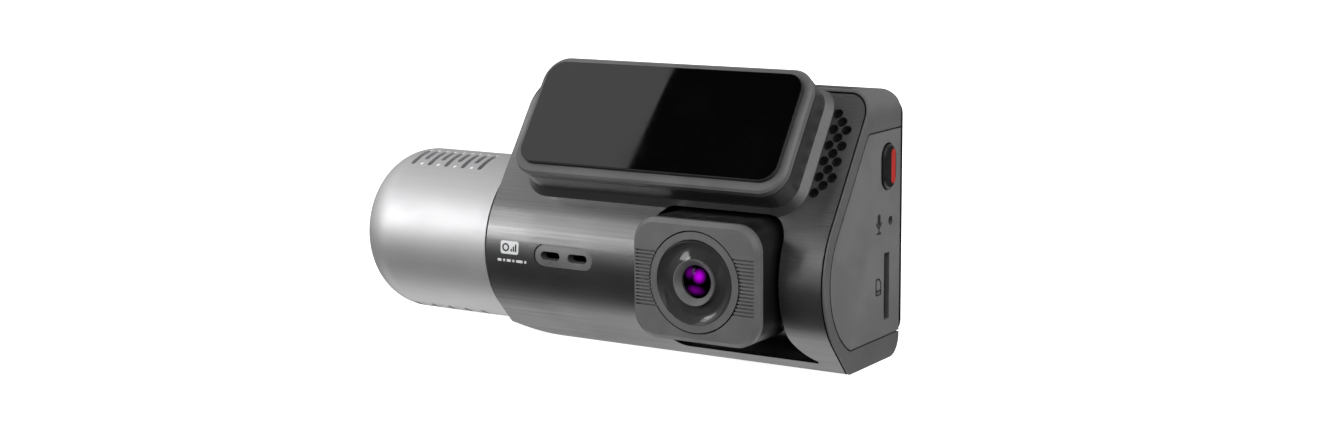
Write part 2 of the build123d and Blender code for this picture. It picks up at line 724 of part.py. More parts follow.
def supercapacitors():
    """Two round supercapacitors lying in the front of the body."""
    cells = []
    for z in CELL_Z:
        cell = rod_x(CELL_RADIUS, CELL_X0, CELL_X0 + CELL_LENGTH, CELL_Y, z)
        cells.append(fillet(cell.faces().sort_by(Axis.X)[-1].edges(), 0.6))
    return Compound(cells)


def gps_antenna():
    """The satellite patch antenna under the pedestal."""
    low = INNER_RADIUS - 1.6
    top = INNER_RADIUS + 2.2
    patch = slab(SLOPE_PLANE, antenna_outline(0.0, 0.8), low, top)
    return patch + slab(SLOPE_PLANE, antenna_outline(3.0, 0.3), top, top + 0.1)


def antenna_outline(inset, radius):
    """The antenna's square under the pedestal."""
    x0 = PEDESTAL_X0 + ANTENNA_FROM_PEDESTAL + inset
    x1 = PEDESTAL_X0 + ANTENNA_FROM_PEDESTAL + ANTENNA_SIDE - inset
    s1 = ANTENNA_S0 + ANTENNA_SIDE - inset
    return outline(x0, x1, ANTENNA_S0 + inset, s1, radius)


def gps_board():
    """The little board that carries the antenna."""
    return slab(SLOPE_PLANE, antenna_outline(-0.8, 0.6), INNER_RADIUS - 2.4, INNER_RADIUS - 1.6)


def basket_outline(inset, radius):
    """The speaker basket's outline on the slope."""
    x0 = BODY_LENGTH - BASKET_FROM_RIGHT[0] + inset
    x1 = BODY_LENGTH - BASKET_FROM_RIGHT[1] - inset
    return outline(x0, x1, BASKET_S[0] + inset, BASKET_S[1] - inset, radius)


def basket_top():
    """The basket's front, just behind the dust mesh."""
    return INNER_RADIUS - 0.35


def speaker():
    """The speaker's basket."""
    top = basket_top()
    basket = slab(SLOPE_PLANE, basket_outline(0.0, 1.4), top - BASKET_DEPTH, top)
    basket -= slab(SLOPE_PLANE, basket_outline(0.9, 1.0), top - 1.0, top + 1)
    return basket - slab(SLOPE_PLANE, basket_outline(2.0, 0.8), top + 0.6 - BASKET_DEPTH, top)


def speaker_cone():
    """The speaker's diaphragm and dust cap."""
    top = basket_top() - 0.7
    cone = slab(SLOPE_PLANE, basket_outline(1.0, 0.9), top - 0.3, top)
    x = BODY_LENGTH - sum(BASKET_FROM_RIGHT) / 2
    return cone + slab(SLOPE_PLANE, Pos(x, sum(BASKET_S) / 2) * Circle(2.6), top, top + 0.5)


def speaker_mesh():
    """The dust mesh behind the speaker holes."""
    x0 = SPEAKER_X - 1.4
    x1 = INNER_RIGHT - SEAM
    s1 = SPEAKER_S + 5 * SPEAKER_PITCH + 1.4
    mesh = slab(SLOPE_PLANE, outline(x0, x1, SPEAKER_S - 1.3, s1, 0.8), INNER_RADIUS - 0.3, INNER_RADIUS)
    for x, z in bosses():
        mesh -= rod_y(BOSS_RADIUS + SEAM, -BODY_RADIUS, REAR_Y, x, z)
    return mesh


def usb_socket():
    """The power socket on the board's upper edge."""
    y = usb_axis_y()
    top = port_floor_z()
    foot = top - USB_LENGTH
    half = USB_WIDTH / 2 - 1.17
    socket = slab(Plane.XY, Pos(USB_X, y) * SlotOverall(USB_WIDTH, USB_DEPTH), foot, top)
    hole = SlotOverall(USB_WIDTH - 0.6, USB_DEPTH - 0.6)
    socket -= slab(Plane.XY, Pos(USB_X, y) * hole, foot + 1, top + 1)
    return socket + block((USB_X - half, USB_X + half), (y - 0.35, y + 0.35), (foot, top - 1))


def av_socket():
    """The round jack for the rear camera's lead."""
    top = TOP_FRONT_Z - WALL_TOP - 0.2
    y0 = BOARD_BACK_Y
    jack = block((AV_X - AV_WIDTH / 2, AV_X + AV_WIDTH / 2), (y0, y0 + 3.5), (top - 9.0, top - 0.2))
    y = av_axis_y()
    jack += Pos(AV_X, y, top + 0.5) * Cylinder(AV_BORE + 0.5, 1.4)
    return jack - Pos(AV_X, y, top) * Cylinder(AV_BORE, 14)


def card_socket():
    """The memory card's metal socket on the board's back."""
    x0 = BODY_LENGTH - CARD_SINK - CARD_LENGTH - 1.6
    y = (BOARD_BACK_Y, CARD_Y + CARD_THICK / 2 + 0.5)
    z = (CARD_Z - CARD_WIDTH / 2 - 0.9, CARD_Z + CARD_WIDTH / 2 + 0.9)
    socket = block((x0, INNER_RIGHT - 0.6), y, z)
    room_y = (CARD_Y - CARD_THICK / 2 - 0.12, CARD_Y + CARD_THICK / 2 + 0.12)
    room_z = (CARD_Z - CARD_WIDTH / 2 - 0.12, CARD_Z + CARD_WIDTH / 2 + 0.12)
    return socket - block((x0 + 0.8, INNER_RIGHT), room_y, room_z)


def memory_card():
    """The memory card, with the notch in its edge and its raised grip."""
    x1 = BODY_LENGTH - CARD_SINK
    y = (CARD_Y - CARD_THICK / 2, CARD_Y + CARD_THICK / 2)
    card = block((x1 - CARD_LENGTH, x1), y, (CARD_Z - CARD_WIDTH / 2, CARD_Z + CARD_WIDTH / 2))
    notch = (CARD_Z + CARD_WIDTH / 2 - 1.3, CARD_Z + CARD_WIDTH)
    card -= block((x1 - CARD_LENGTH - 1, x1 - 8.6), (0, 20), notch)
    return card + block((x1 - 0.8, x1), (y[1], y[1] + 0.25), (CARD_Z - 4.6, CARD_Z + 4.6))


# ---------------------------------------------------------------- right end controls
def key_board():
    """The small board behind the power key and the microphone."""
    x = INNER_RIGHT - 2.6
    return block((x, x + 0.8), (4.6, 10.0), (MIC_Z - 2.7, KEY_Z + 5.64))


def key_switch():
    """The push switch behind the power key."""
    x0 = INNER_RIGHT - 1.8
    body = block((x0, x0 + 1.4), (KEY_Y - 2.1, KEY_Y + 2.1), (KEY_Z - 2.1, KEY_Z + 2.1))
    return body - rod_x(1.0, x0 + 0.2, x0 + 2, KEY_Y, KEY_Z)


def key_plunger():
    """The switch's plunger, which the key pushes."""
    x0 = INNER_RIGHT - 1.8
    return rod_x(0.9, x0 + 0.8, key_flange_x(), KEY_Y, KEY_Z)


def key_flange_x():
    """The back of the power key's flange."""
    return COVER_BACK_X - KEY_FLANGE - 0.05


def power_key():
    """The power key: a pill that stands proud, with a flange behind the cover."""
    stem = pill(KEY_Y, KEY_Z, KEY_WIDTH - 2 * KEY_GAP, KEY_HEIGHT - 2 * KEY_GAP)
    key = slab(END_PLANE, stem, key_flange_x(), KEY_FACE_X)
    key = chamfer(key.faces().sort_by(Axis.X)[-1].edges(), 0.35)
    flange = pill(KEY_Y, KEY_Z, KEY_WIDTH + 1.2, KEY_HEIGHT + 1.2)
    key += slab(END_PLANE, flange, key_flange_x(), key_flange_x() + KEY_FLANGE)
    return key - key_stripe_form(KEY_FACE_X - 0.5, KEY_FACE_X + 1)


def key_stripe_form(x0, x1):
    """The red stripe's place in the rear half of the key."""
    return slab(END_PLANE, pill(KEY_Y + 1.05, KEY_Z, STRIPE_WIDTH, STRIPE_HEIGHT), x0, x1)


def key_stripe():
    """The red stripe set into the key."""
    return key_stripe_form(KEY_FACE_X - 0.5, KEY_FACE_X)


def microphone():
    """The microphone on the key board."""
    x0 = INNER_RIGHT - 1.8
    can = block((x0, x0 + 1.1), (MIC_Y - 1.1, MIC_Y + 1.1), (MIC_Z - 1.5, MIC_Z + 1.5))
    return can - rod_x(0.3, x0 + 0.6, x0 + 2, MIC_Y, MIC_Z)


def microphone_boot():
    """The rubber tube that leads sound from the cover to the microphone."""
    x0 = INNER_RIGHT - 0.7
    tube = rod_x(MIC_HOLE + 1.0, x0, COVER_BACK_X, MIC_Y, MIC_Z)
    return tube - rod_x(MIC_HOLE - 0.1, x0 - 1, BODY_LENGTH, MIC_Y, MIC_Z)


# ---------------------------------------------------------------- windscreen bracket
def hook_places():
    """The near corner of each bracket hook, as (x, s)."""
    left = PEDESTAL_X0 + 10.9
    right = PEDESTAL_X1 - 16.7
    low = PEDESTAL_S0 + 6.1
    high = PEDESTAL_S1 - 6.1
    return [(left, low), (right, low), (left, high), (right, high)]


def bracket_socket():
    """The plate in the pedestal that the bracket's hooks slide into."""
    plate = slab(SLOPE_PLANE, pedestal_outline(SKIN + 0.05), SOCKET_FLOOR, PEDESTAL_TOP)
    fit = HOOK_FIT
    reach = HOOK_REACH - BRACKET_GAP
    head_top = PEDESTAL_TOP - reach + HOOK_HEAD_THICK
    for x, s in hook_places():
        wide = (s - HOOK_HEAD / 2 - fit, s + HOOK_HEAD / 2 + fit)
        slim = (s - HOOK_STEM / 2 - fit, s + HOOK_STEM / 2 + fit)
        start = x - BRACKET_TRAVEL - fit
        run = outline(start, x + HOOK_LENGTH + fit, *wide, 0.1)
        plate -= slab(SLOPE_PLANE, run, PEDESTAL_TOP - reach - fit, head_top + fit)
        neck = outline(start, x + HOOK_LENGTH + fit, *slim, 0.1)
        plate -= slab(SLOPE_PLANE, neck, head_top, PEDESTAL_TOP + 1)
        plate -= slab(SLOPE_PLANE, outline(start, x - fit, *wide, 0.1), head_top, PEDESTAL_TOP + 1)
    return plate


def bracket_plate():
    """The bracket: a rounded plate with four hooks on its back."""
    plate = slab(SLOPE_PLANE, pedestal_outline(), BRACKET_FLOOR, BRACKET_TOP)
    plate = chamfer(plate.faces().sort_by(Axis(origin=(0, 0, 0), direction=OUT))[-1].edges(), 0.4)
    head_floor = BRACKET_FLOOR - HOOK_REACH
    for x, s in hook_places():
        stem = outline(x, x + HOOK_LENGTH, s - HOOK_STEM / 2, s + HOOK_STEM / 2, 0.1)
        head = outline(x, x + HOOK_LENGTH, s - HOOK_HEAD / 2, s + HOOK_HEAD / 2, 0.1)
        plate += slab(SLOPE_PLANE, stem, head_floor, BRACKET_FLOOR)
        plate += slab(SLOPE_PLANE, head, head_floor, head_floor + HOOK_HEAD_THICK)
    return plate


def pad_outline(inset=0.0):
    """The adhesive pad's outline on the bracket."""
    return outline(
        PEDESTAL_X0 + PAD_MARGIN_X + inset,
        PEDESTAL_X1 - PAD_MARGIN_X - inset,
        PEDESTAL_S0 + PAD_MARGIN_S + inset,
        PEDESTAL_S1 - PAD_MARGIN_S + 0.4 - inset,
        PAD_ROUND - inset,
    )


def adhesive_pad():
    """The foam pad that sticks to the windscreen."""
    return slab(SLOPE_PLANE, pad_outline(), BRACKET_TOP, BRACKET_TOP + PAD_THICK)


def pad_liner():
    """The glossy film over the adhesive."""
    low = BRACKET_TOP + PAD_THICK
    return slab(SLOPE_PLANE, pad_outline(0.15), low, low + LINER_THICK)


def socket_screws():
    """Four small screws that hold the bracket socket in the pedestal."""
    screws = []
    for x in (PEDESTAL_X0 + 4.2, PEDESTAL_X1 - 4.2):
        for s in (PEDESTAL_S0 + 3.6, PEDESTAL_S1 - 3.6):
            head = slab(SLOPE_PLANE, Pos(x, s) * Circle(1.3), SOCKET_FLOOR - 0.8, SOCKET_FLOOR)
            screws.append(head)
    return Compound(screws)


# ---------------------------------------------------------------- road camera
def wedge(radius, x0, x1, low_deg, high_deg):
    """A pie-shaped bar about the axis, between two angles from the front."""
    steps = [math.radians(a) for a in (low_deg, (low_deg + high_deg) / 2, high_deg)]
    ends = [(-radius * math.cos(a), radius * math.sin(a)) for a in steps]
    sides = [Line((0, 0), ends[0]), ThreePointArc(*ends), Line(ends[2], (0, 0))]
    return slab(END_PLANE, make_face(Curve() + sides), x0, x1)


def pod_outline(inset=0.0):
    """The pod's outline seen from the front."""
    half_x = POD_WIDTH / 2 - inset
    half_z = POD_HEIGHT / 2 - inset
    return outline(POD_X - half_x, POD_X + half_x, -half_z, half_z, POD_ROUND - inset)


def lens_pod():
    """The tilting pod: a box in front, a round barrel behind it and two trunnions."""
    x0 = POD_X - BARREL_WIDTH / 2
    x1 = POD_X + BARREL_WIDTH / 2
    pod = wedge(BARREL_RADIUS, x0, x1, BARREL_LOW_DEG, BARREL_HIGH_DEG)
    pod += rod_x(TRUNNION_RADIUS + 0.4, x0, x1)
    pod += front_slab(pod_outline(), PLATE_BACK_Y, -8)
    inner = (x0 + POD_WALL, x1 - POD_WALL)
    room = wedge(BARREL_RADIUS - 1.2, *inner, BARREL_LOW_DEG - 40, BARREL_HIGH_DEG + 40)
    pod -= room + rod_x(TRUNNION_RADIUS + 4, *inner)
    pod -= front_slab(pod_outline(POD_WALL), PLATE_BACK_Y - 1, -7)
    pod += rod_x(TRUNNION_RADIUS, x0 - CHEEK - 0.2, x0)
    pod += rod_x(TRUNNION_RADIUS, x1, x1 + CHEEK + 0.2)
    return pod


def post_places():
    """Where the lens holder is screwed to the faceplate, as (x, z)."""
    return [(POD_X + sx * POST_X, sz * POST_Z) for sx in (-1, 1) for sz in (-1, 1)]


def lens_faceplate():
    """The pod's front plate, with fine grooves beside the lens."""
    plate = front_slab(pod_outline(), POD_FRONT_Y, PLATE_BACK_Y)
    plate = chamfer(plate.faces().sort_by(Axis.Y)[0].edges(), PLATE_CHAMFER)
    plate -= rod_y(RING_RADIUS + RING_SEAM, POD_FRONT_Y - 1, PLATE_BACK_Y + 1, POD_X, 0)
    grooves = []
    for side in (-1, 1):
        outer = POD_X + side * (POD_WIDTH / 2 - PLATE_CHAMFER)
        inner = POD_X + side * RING_RADIUS / 2
        for row in range(GROOVES):
            z = (row - (GROOVES - 1) / 2) * GROOVE_PITCH
            x = sorted((outer, inner))
            y = (POD_FRONT_Y - 1, POD_FRONT_Y + GROOVE_DEPTH)
            grooves.append(block(x, y, (z - GROOVE_WIDTH / 2, z + GROOVE_WIDTH / 2)))
    plate -= grooves
    for x, z in post_places():
        post = rod_y(1.25, PLATE_BACK_Y, HOLDER_BACK_Y - 1.5, x, z)
        plate += post - rod_y(0.6, HOLDER_BACK_Y - 6.0, 0, x, z)
    return plate


def lens_ring():
    """The flat ring round the bowl."""
    ring = rod_y(RING_RADIUS, POD_FRONT_Y, POD_FRONT_Y + 1.5, POD_X, 0)
    return ring - rod_y(BOWL_RADIUS, POD_FRONT_Y - 1, 0, POD_X, 0)


def lens_bowl():
    """The dark dish round the lens: it dips, then rises gently to the lens rim."""
    y0 = POD_FRONT_Y
    edge = (BOWL_RADIUS - 0.03, y0 + 0.05)
    dip = (BOWL_DIP_RADIUS, y0 + BOWL_DIP)
    crest = (RIM_RADIUS + 0.03, y0 + BOWL_DIP - BOWL_RISE)
    fall_middle = ((edge[0] + dip[0]) / 2, y0 + BOWL_DIP * 0.76)
    rise_middle = ((dip[0] + crest[0]) / 2, y0 + BOWL_DIP - BOWL_RISE * 0.4)
    outer = ThreePointArc(edge, fall_middle, dip)
    inner = ThreePointArc(dip, rise_middle, crest)
    seat = y0 + BARREL_SETBACK
    back = y0 + BOWL_DEPTH
    barrel = LENS_RADIUS + 0.5
    rest = Polyline(crest, (crest[0], seat), (barrel, seat), (barrel, back), (edge[0], back), edge)
    half = make_face(Curve() + [outer, inner, rest])
    return Pos(POD_X, 0, 0) * revolve(half, Axis.Y)


def lens_barrel():
    """The road lens's threaded barrel."""
    y0 = POD_FRONT_Y + BARREL_SETBACK
    barrel = rod_y(LENS_RADIUS + 0.4, y0, THREAD_Y, POD_X, 0)
    barrel += rod_y(THREAD_RADIUS, THREAD_Y, THREAD_Y + THREAD_LENGTH, POD_X, 0)
    barrel -= rod_y(LENS_RADIUS - 0.6, y0 - 1, 0, POD_X, 0)
    return barrel - rod_y(LENS_RADIUS - 0.1, y0 - 1, y0 + 0.5, POD_X, 0)


def lens_rim():
    """The bright ring that holds the front element, with a cone leading in to it."""
    front = POD_FRONT_Y - RIM_PROUD
    seat = POD_FRONT_Y + BARREL_SETBACK
    glass = (LENS_RADIUS - 0.7, POD_FRONT_Y + 1.0)
    points = [
        (RIM_RADIUS - RIM_LIP, front),
        (RIM_RADIUS, front),
        (RIM_RADIUS, seat),
        (LENS_RADIUS - 0.1, seat),
        (LENS_RADIUS - 0.1, seat + 0.5),
        (glass[0], seat + 0.5),
        glass,
        (PUPIL_RADIUS, glass[1]),
        (PUPIL_RADIUS, front + CONE_DEPTH),
    ]
    half = make_face(Polyline(*points, close=True))
    return Pos(POD_X, 0, 0) * revolve(half, Axis.Y)


def dome(radius, y0, bulge, thick, x, back=1):
    """A round glass element: a spherical cap on a disc, looking along -Y or +Y."""
    sphere = (radius**2 + bulge**2) / (2 * bulge)
    half_way = sphere - bulge - math.sqrt(sphere**2 - radius**2 / 4)
    profile = make_face(
        Curve()
        + [
            ThreePointArc((0, -bulge), (radius / 2, half_way), (radius, 0)),
            Line((radius, 0), (radius, thick)),
            Line((radius, thick), (0, thick)),
            Line((0, thick), (0, -bulge)),
        ]
    )
    glass = revolve(profile, Axis.Y)
    if back < 0:
        glass = Rot(180, 0, 0) * glass
    return Pos(x, y0, 0) * glass


def lens_front_glass():
    """The road lens's front element."""
    return dome(LENS_RADIUS - 0.7, POD_FRONT_Y + 1.75, 0.75, 1.6, POD_X)


def lens_inner_glass():
    """The elements behind it."""
    radius = LENS_RADIUS - 0.62
    return Compound([dome(radius, y, 0.5, 1.0, POD_X) for y in (-17.5, -14.5, -11.5)])


def holder_block(y0, y1):
    """A block as wide and high as the lens holder's foot."""
    x = (POD_X - HOLDER_HALF_X, POD_X + HOLDER_HALF_X)
    return block(x, (y0, y1), (-HOLDER_HALF_Z, HOLDER_HALF_Z))


def lens_holder():
    """The holder that the lens is screwed into, over the sensor."""
    back = HOLDER_BACK_Y
    tube = rod_y(THREAD_RADIUS + 1.3, -13.5, back, POD_X, 0)
    foot = holder_block(back - 1.5, back)
    holder = tube + foot
    holder -= rod_y(THREAD_RADIUS, -15, back - 2.2, POD_X, 0)
    holder -= rod_y(LENS_RADIUS, -15, back + 1, POD_X, 0)
    holder -= block((POD_X - 4.6, POD_X + 4.6), (back - 1.4, back + 1), (-4.1, 4.1))
    for x, z in post_places():
        holder -= rod_y(0.65, back - 3, back + 1, x, z)
    return holder


def sensor_board():
    """The board that carries the road camera's sensor."""
    back = HOLDER_BACK_Y
    board = holder_block(back, back + 1.0)
    for x, z in post_places():
        board -= rod_y(0.65, back - 1, back + 2, x, z)
    return board


def image_sensor():
    """The road camera's sensor package."""
    back = HOLDER_BACK_Y
    return block((POD_X - 4.2, POD_X + 4.2), (back - 1.1, back), (-3.7, 3.7))


def pod_screws():
    """Four screws through the sensor board and the holder into the faceplate's posts."""
    back = HOLDER_BACK_Y
    screws = []
    for x, z in post_places():
        shank = rod_y(0.6, back - 5.5, back + 1.0, x, z)
        screws.append(shank + rod_y(1.1, back + 1.0, back + 1.7, x, z))
    return Compound(screws)


def lens_cradle():
    """The yoke that the pod's trunnions turn in, screwed to the main board."""
    left = (POD_X - CHEEK_REACH - CHEEK, POD_X - CHEEK_REACH)
    right = (POD_X + CHEEK_REACH, POD_X + CHEEK_REACH + CHEEK)
    limit = rod_x(BARREL_RADIUS + 0.3, 0, BODY_LENGTH)
    cradle = block((left[0], right[1]), (BOARD_Y - 1.1, BOARD_Y), (-11.0, 12.0))
    cradle -= block((left[1] + 6, right[0] - 6), (0, 10), (-6.0, 7.0))
    for x in (left, right):
        cheek = block(x, (-7.5, BOARD_Y), (-11.0, 12.0)) & limit
        cradle += cheek - rod_x(TRUNNION_RADIUS + RUN_FIT, 0, BODY_LENGTH)
    for x, z in cradle_screw_points():
        cradle -= rod_y(SCREW_RADIUS - 0.1, BOARD_Y - 3.2, BOARD_Y + 1, x, z)
    return cradle


def tilt_washers():
    """The two friction washers between the pod and its yoke."""
    thick = CHEEK_GAP - 0.05
    ring = rod_x(TRUNNION_RADIUS + 1.0, 0, thick) - rod_x(TRUNNION_RADIUS + 0.1, -1, 1)
    places = (POD_X - CHEEK_REACH, POD_X + CHEEK_REACH - thick)
    return Compound([Pos(x, 0, 0) * ring for x in places])


# ---------------------------------------------------------------- drum with the cabin camera
def drum_profile(inset):
    """Half of the drum's section, about X."""
    radius = DRUM_RADIUS - inset
    far = -DRUM_LENGTH + inset
    bend = DRUM_ROUND - inset
    inward = bend * (1 - math.sqrt(0.5))
    middle = (far + inward, radius - inward)
    sides = [
        Line((DRUM_FACE_X, 0), (far, 0)),
        Line((far, 0), (far, radius - bend)),
        ThreePointArc((far, radius - bend), middle, (far + bend, radius)),
        Line((far + bend, radius), (DRUM_FACE_X, radius)),
        Line((DRUM_FACE_X, radius), (DRUM_FACE_X, 0)),
    ]
    return revolve(make_face(Curve() + sides), Axis.X)


def vent_cut(x, low_deg, high_deg):
    """A slot round the drum between two angles, or a dot where they are equal."""
    middle = math.radians((low_deg + high_deg) / 2)
    outward = (0, -math.cos(middle), math.sin(middle))
    plane = Plane(origin=(0, 0, 0), x_dir=(1, 0, 0), z_dir=outward).offset(DRUM_RADIUS - DRUM_WALL - 1)
    length = math.radians(high_deg - low_deg) * DRUM_RADIUS + VENT_WIDTH
    if high_deg > low_deg:
        shape = Pos(x, 0) * Rot(0, 0, 90) * SlotOverall(length, VENT_WIDTH)
    else:
        shape = Pos(x, 0) * Circle(VENT_WIDTH / 2)
    return extrude(plane * shape, amount=DRUM_WALL + 3)


def vent_field():
    """The front half of the vents over the drum's top."""
    cuts = []
    for column in range(VENT_COLUMNS):
        x = VENT_FIRST + column * VENT_PITCH
        cuts.append(vent_cut(x, VENT_DOT_DEG, VENT_DOT_DEG))
        if column % 2 == 0:
            cuts.append(vent_cut(x, VENT_LOW_DEG, VENT_HIGH_DEG))
        else:
            cuts.append(vent_cut(x, VENT_LOW_DEG, VENT_LOW_DEG))
            cuts.append(vent_cut(x, VENT_SHORT_DEG, VENT_HIGH_DEG))
    return cuts


def window_outline(inset=0.0):
    """The cabin camera's window on the drum's rear side, in x and z."""
    far = WINDOW_FAR - DRUM_LENGTH + inset
    half = WINDOW_HALF - inset
    return outline(far, -WINDOW_NEAR - inset, -half, half, WINDOW_ROUND - inset)


def drum_shell():
    """The silver drum, with vents above and below and the window at the rear."""
    shell = drum_profile(0.0) - (drum_profile(DRUM_WALL) + rod_x(DRUM_RADIUS - DRUM_WALL, -4, 1))
    cuts = vent_field()
    cuts += [mirror(cut, Plane.XZ) for cut in cuts]
    cuts += [mirror(cut, Plane.XY) for cut in cuts]
    shell -= cuts
    return shell - front_slab(window_outline(), 8, 20)


def drum_core():
    """The dark end disc, its hollow shaft and the tongue inside the drum."""
    disc = rod_x(DRUM_RADIUS - DRUM_WALL - 0.05, -3.4, -0.15)
    core = disc + rod_x(SHAFT_RADIUS, -0.15, SHAFT_REACH)
    tongue = (CABIN_BOARD_Y - TONGUE_THICK, CABIN_BOARD_Y)
    core += block((WINDOW_FAR - 1.8 - DRUM_LENGTH, -3.4), tongue, (-8.5, 8.5))
    return core - rod_x(SHAFT_BORE, -4.5, SHAFT_REACH + 1)


def drum_nut():
    """The nut that keeps the drum's shaft in the body."""
    nut = rod_x(NUT_RADIUS, WALL_LEFT + 0.7, WALL_LEFT + 3.2) - rod_x(SHAFT_RADIUS, 0, SHAFT_REACH + 1)
    for side in (-1, 1):
        nut -= block((WALL_LEFT + 2.0, WALL_LEFT + 4), (-1, 1), (side * 6.5 - 0.7, side * 6.5 + 0.7))
    return nut


def drum_washer():
    """The spring washer that gives the drum its friction."""
    return rod_x(SHAFT_RADIUS + 2.6, WALL_LEFT, WALL_LEFT + 0.6) - rod_x(SHAFT_RADIUS + 0.15, 0, WALL_LEFT + 1)


def cabin_window():
    """The smoked window with its lens hole."""
    window = front_slab(window_outline(SEAM), WINDOW_FACE_Y - WINDOW_THICK, WINDOW_FACE_Y)
    return window - rod_y(CABIN_BARREL_RADIUS + 0.05, 0, 20, CABIN_X, 0)


def cabin_lens_barrel():
    """The cabin lens's barrel."""
    foot = CABIN_BOARD_Y + 1.0
    barrel = rod_y(CABIN_BARREL_RADIUS, foot + 0.8, WINDOW_FACE_Y + 0.3, CABIN_X, 0)
    half = CABIN_FOOT_HALF
    barrel += block((CABIN_X - half, CABIN_X + half), (foot, foot + 2.0), (-half, half))
    barrel -= rod_y(CABIN_GLASS_RADIUS - 0.5, foot - 0.8, 20, CABIN_X, 0)
    barrel -= block((CABIN_X - 2.5, CABIN_X + 2.5), (foot - 0.1, foot + 0.8), (-1.8, 1.8))
    return barrel - rod_y(CABIN_GLASS_RADIUS, WINDOW_FACE_Y - 1.2, 20, CABIN_X, 0)


def cabin_lens_glass():
    """The cabin lens's front element."""
    return dome(CABIN_GLASS_RADIUS, WINDOW_FACE_Y - 0.3, 0.5, 0.9, CABIN_X, back=-1)


def cabin_board():
    """The cabin camera's board on the drum's tongue."""
    x = (WINDOW_FAR - 0.8 - DRUM_LENGTH, 0.4 - WINDOW_NEAR)
    return block(x, (CABIN_BOARD_Y, CABIN_BOARD_Y + 1.0), (-6.4, 6.4))


def cabin_sensor():
    """The cabin camera's sensor."""
    foot = CABIN_BOARD_Y + 1.0
    return block((CABIN_X - 2.3, CABIN_X + 2.3), (foot, foot + 0.7), (-1.6, 1.6))


def infrared_lamps():
    """Four infrared lamps behind the window, on posts from the board."""
    lamps = []
    top = WINDOW_FACE_Y - 2.4
    first = WINDOW_FAR + LAMP_INSET - DRUM_LENGTH
    room = CABIN_X - CABIN_FOOT_HALF - LAMP_RADIUS - first
    for column in range(1 + int(room / LAMP_PITCH)):
        x = first + column * LAMP_PITCH
        for z in (-LAMP_Z, LAMP_Z):
            post = rod_y(LAMP_RADIUS, CABIN_BOARD_Y + 1.0, top, x, z)
            lamps.append(post + Pos(0, 0, z) * dome(LAMP_RADIUS, top, 0.9, 0.2, x, back=-1))
    return Compound(lamps)


NODES = {
    "rear_housing": rear_housing,
    "front_shell": front_shell,
    "side_cover": side_cover,
    "vent_insert": vent_insert,
    "display_glass": display_glass,
    "display_panel": display_panel,
    "inner_frame": inner_frame,
    "frame_screws": frame_screws,
    "main_board": main_board,
    "board_screws": board_screws,
    "processor": processor,
    "processor_shield": processor_shield,
    "thermal_pad": thermal_pad,
    "heat_sink": heat_sink,
    "supercapacitors": supercapacitors,
    "gps_antenna": gps_antenna,
    "gps_board": gps_board,
    "speaker": speaker,
    "speaker_cone": speaker_cone,
    "speaker_mesh": speaker_mesh,
    "usb_socket": usb_socket,
    "av_socket": av_socket,
    "card_socket": card_socket,
    "memory_card": memory_card,
    "key_board": key_board,
    "key_switch": key_switch,
    "key_plunger": key_plunger,
    "power_key": power_key,
    "key_stripe": key_stripe,
    "microphone": microphone,
    "microphone_boot": microphone_boot,
    "bracket_socket": bracket_socket,
    "socket_screws": socket_screws,
    "bracket_plate": bracket_plate,
    "adhesive_pad": adhesive_pad,
    "pad_liner": pad_liner,
    "lens_pod": lens_pod,
    "lens_faceplate": lens_faceplate,
    "lens_ring": lens_ring,
    "lens_bowl": lens_bowl,
    "lens_barrel": lens_barrel,
    "lens_rim": lens_rim,
    "lens_front_glass": lens_front_glass,
    "lens_inner_glass": lens_inner_glass,
    "lens_holder": lens_holder,
    "sensor_board": sensor_board,
    "image_sensor": image_sensor,
    "pod_screws": pod_screws,
    "lens_cradle": lens_cradle,
    "tilt_washers": tilt_washers,
    "drum_shell": drum_shell,
    "drum_core": drum_core,
    "drum_nut": drum_nut,
    "drum_washer": drum_washer,
    "cabin_window": cabin_window,
    "cabin_lens_barrel": cabin_lens_barrel,
    "cabin_lens_glass": cabin_lens_glass,
    "cabin_board": cabin_board,
    "cabin_sensor": cabin_sensor,
    "infrared_lamps": infrared_lamps,
}

os.makedirs("parts", exist_ok=True)
for name, make in NODES.items():
    export_step(SHIFT * make(), os.path.join("parts", name + ".step"))
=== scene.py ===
"""Finishes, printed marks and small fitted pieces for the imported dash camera, with its stage."""

import json
import math

import bmesh
import bpy
from mathutils import Matrix, Vector


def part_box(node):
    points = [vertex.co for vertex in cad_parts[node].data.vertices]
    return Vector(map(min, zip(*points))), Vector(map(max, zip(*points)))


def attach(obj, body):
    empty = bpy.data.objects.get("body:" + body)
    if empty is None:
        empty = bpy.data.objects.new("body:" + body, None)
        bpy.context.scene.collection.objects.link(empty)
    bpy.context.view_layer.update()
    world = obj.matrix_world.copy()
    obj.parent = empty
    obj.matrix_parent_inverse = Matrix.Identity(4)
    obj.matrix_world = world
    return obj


bl_info = {
    "name": "Dash camera looks",
    "version": (1, 0, 0),
    "blender": (4, 5, 0),
    "location": "View3D > Sidebar > Dash camera",
    "description": "Finishes the packed dash camera and sets it on a studio floor",
    "category": "Object",
}

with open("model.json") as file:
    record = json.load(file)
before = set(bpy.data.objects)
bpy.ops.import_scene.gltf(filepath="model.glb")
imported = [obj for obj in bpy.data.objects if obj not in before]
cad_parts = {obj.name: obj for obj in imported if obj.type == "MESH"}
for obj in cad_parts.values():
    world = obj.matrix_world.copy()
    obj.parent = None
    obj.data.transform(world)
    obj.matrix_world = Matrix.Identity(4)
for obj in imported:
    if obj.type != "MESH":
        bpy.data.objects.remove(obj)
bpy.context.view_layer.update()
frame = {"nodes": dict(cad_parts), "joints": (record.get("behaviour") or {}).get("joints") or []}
MM = 0.001

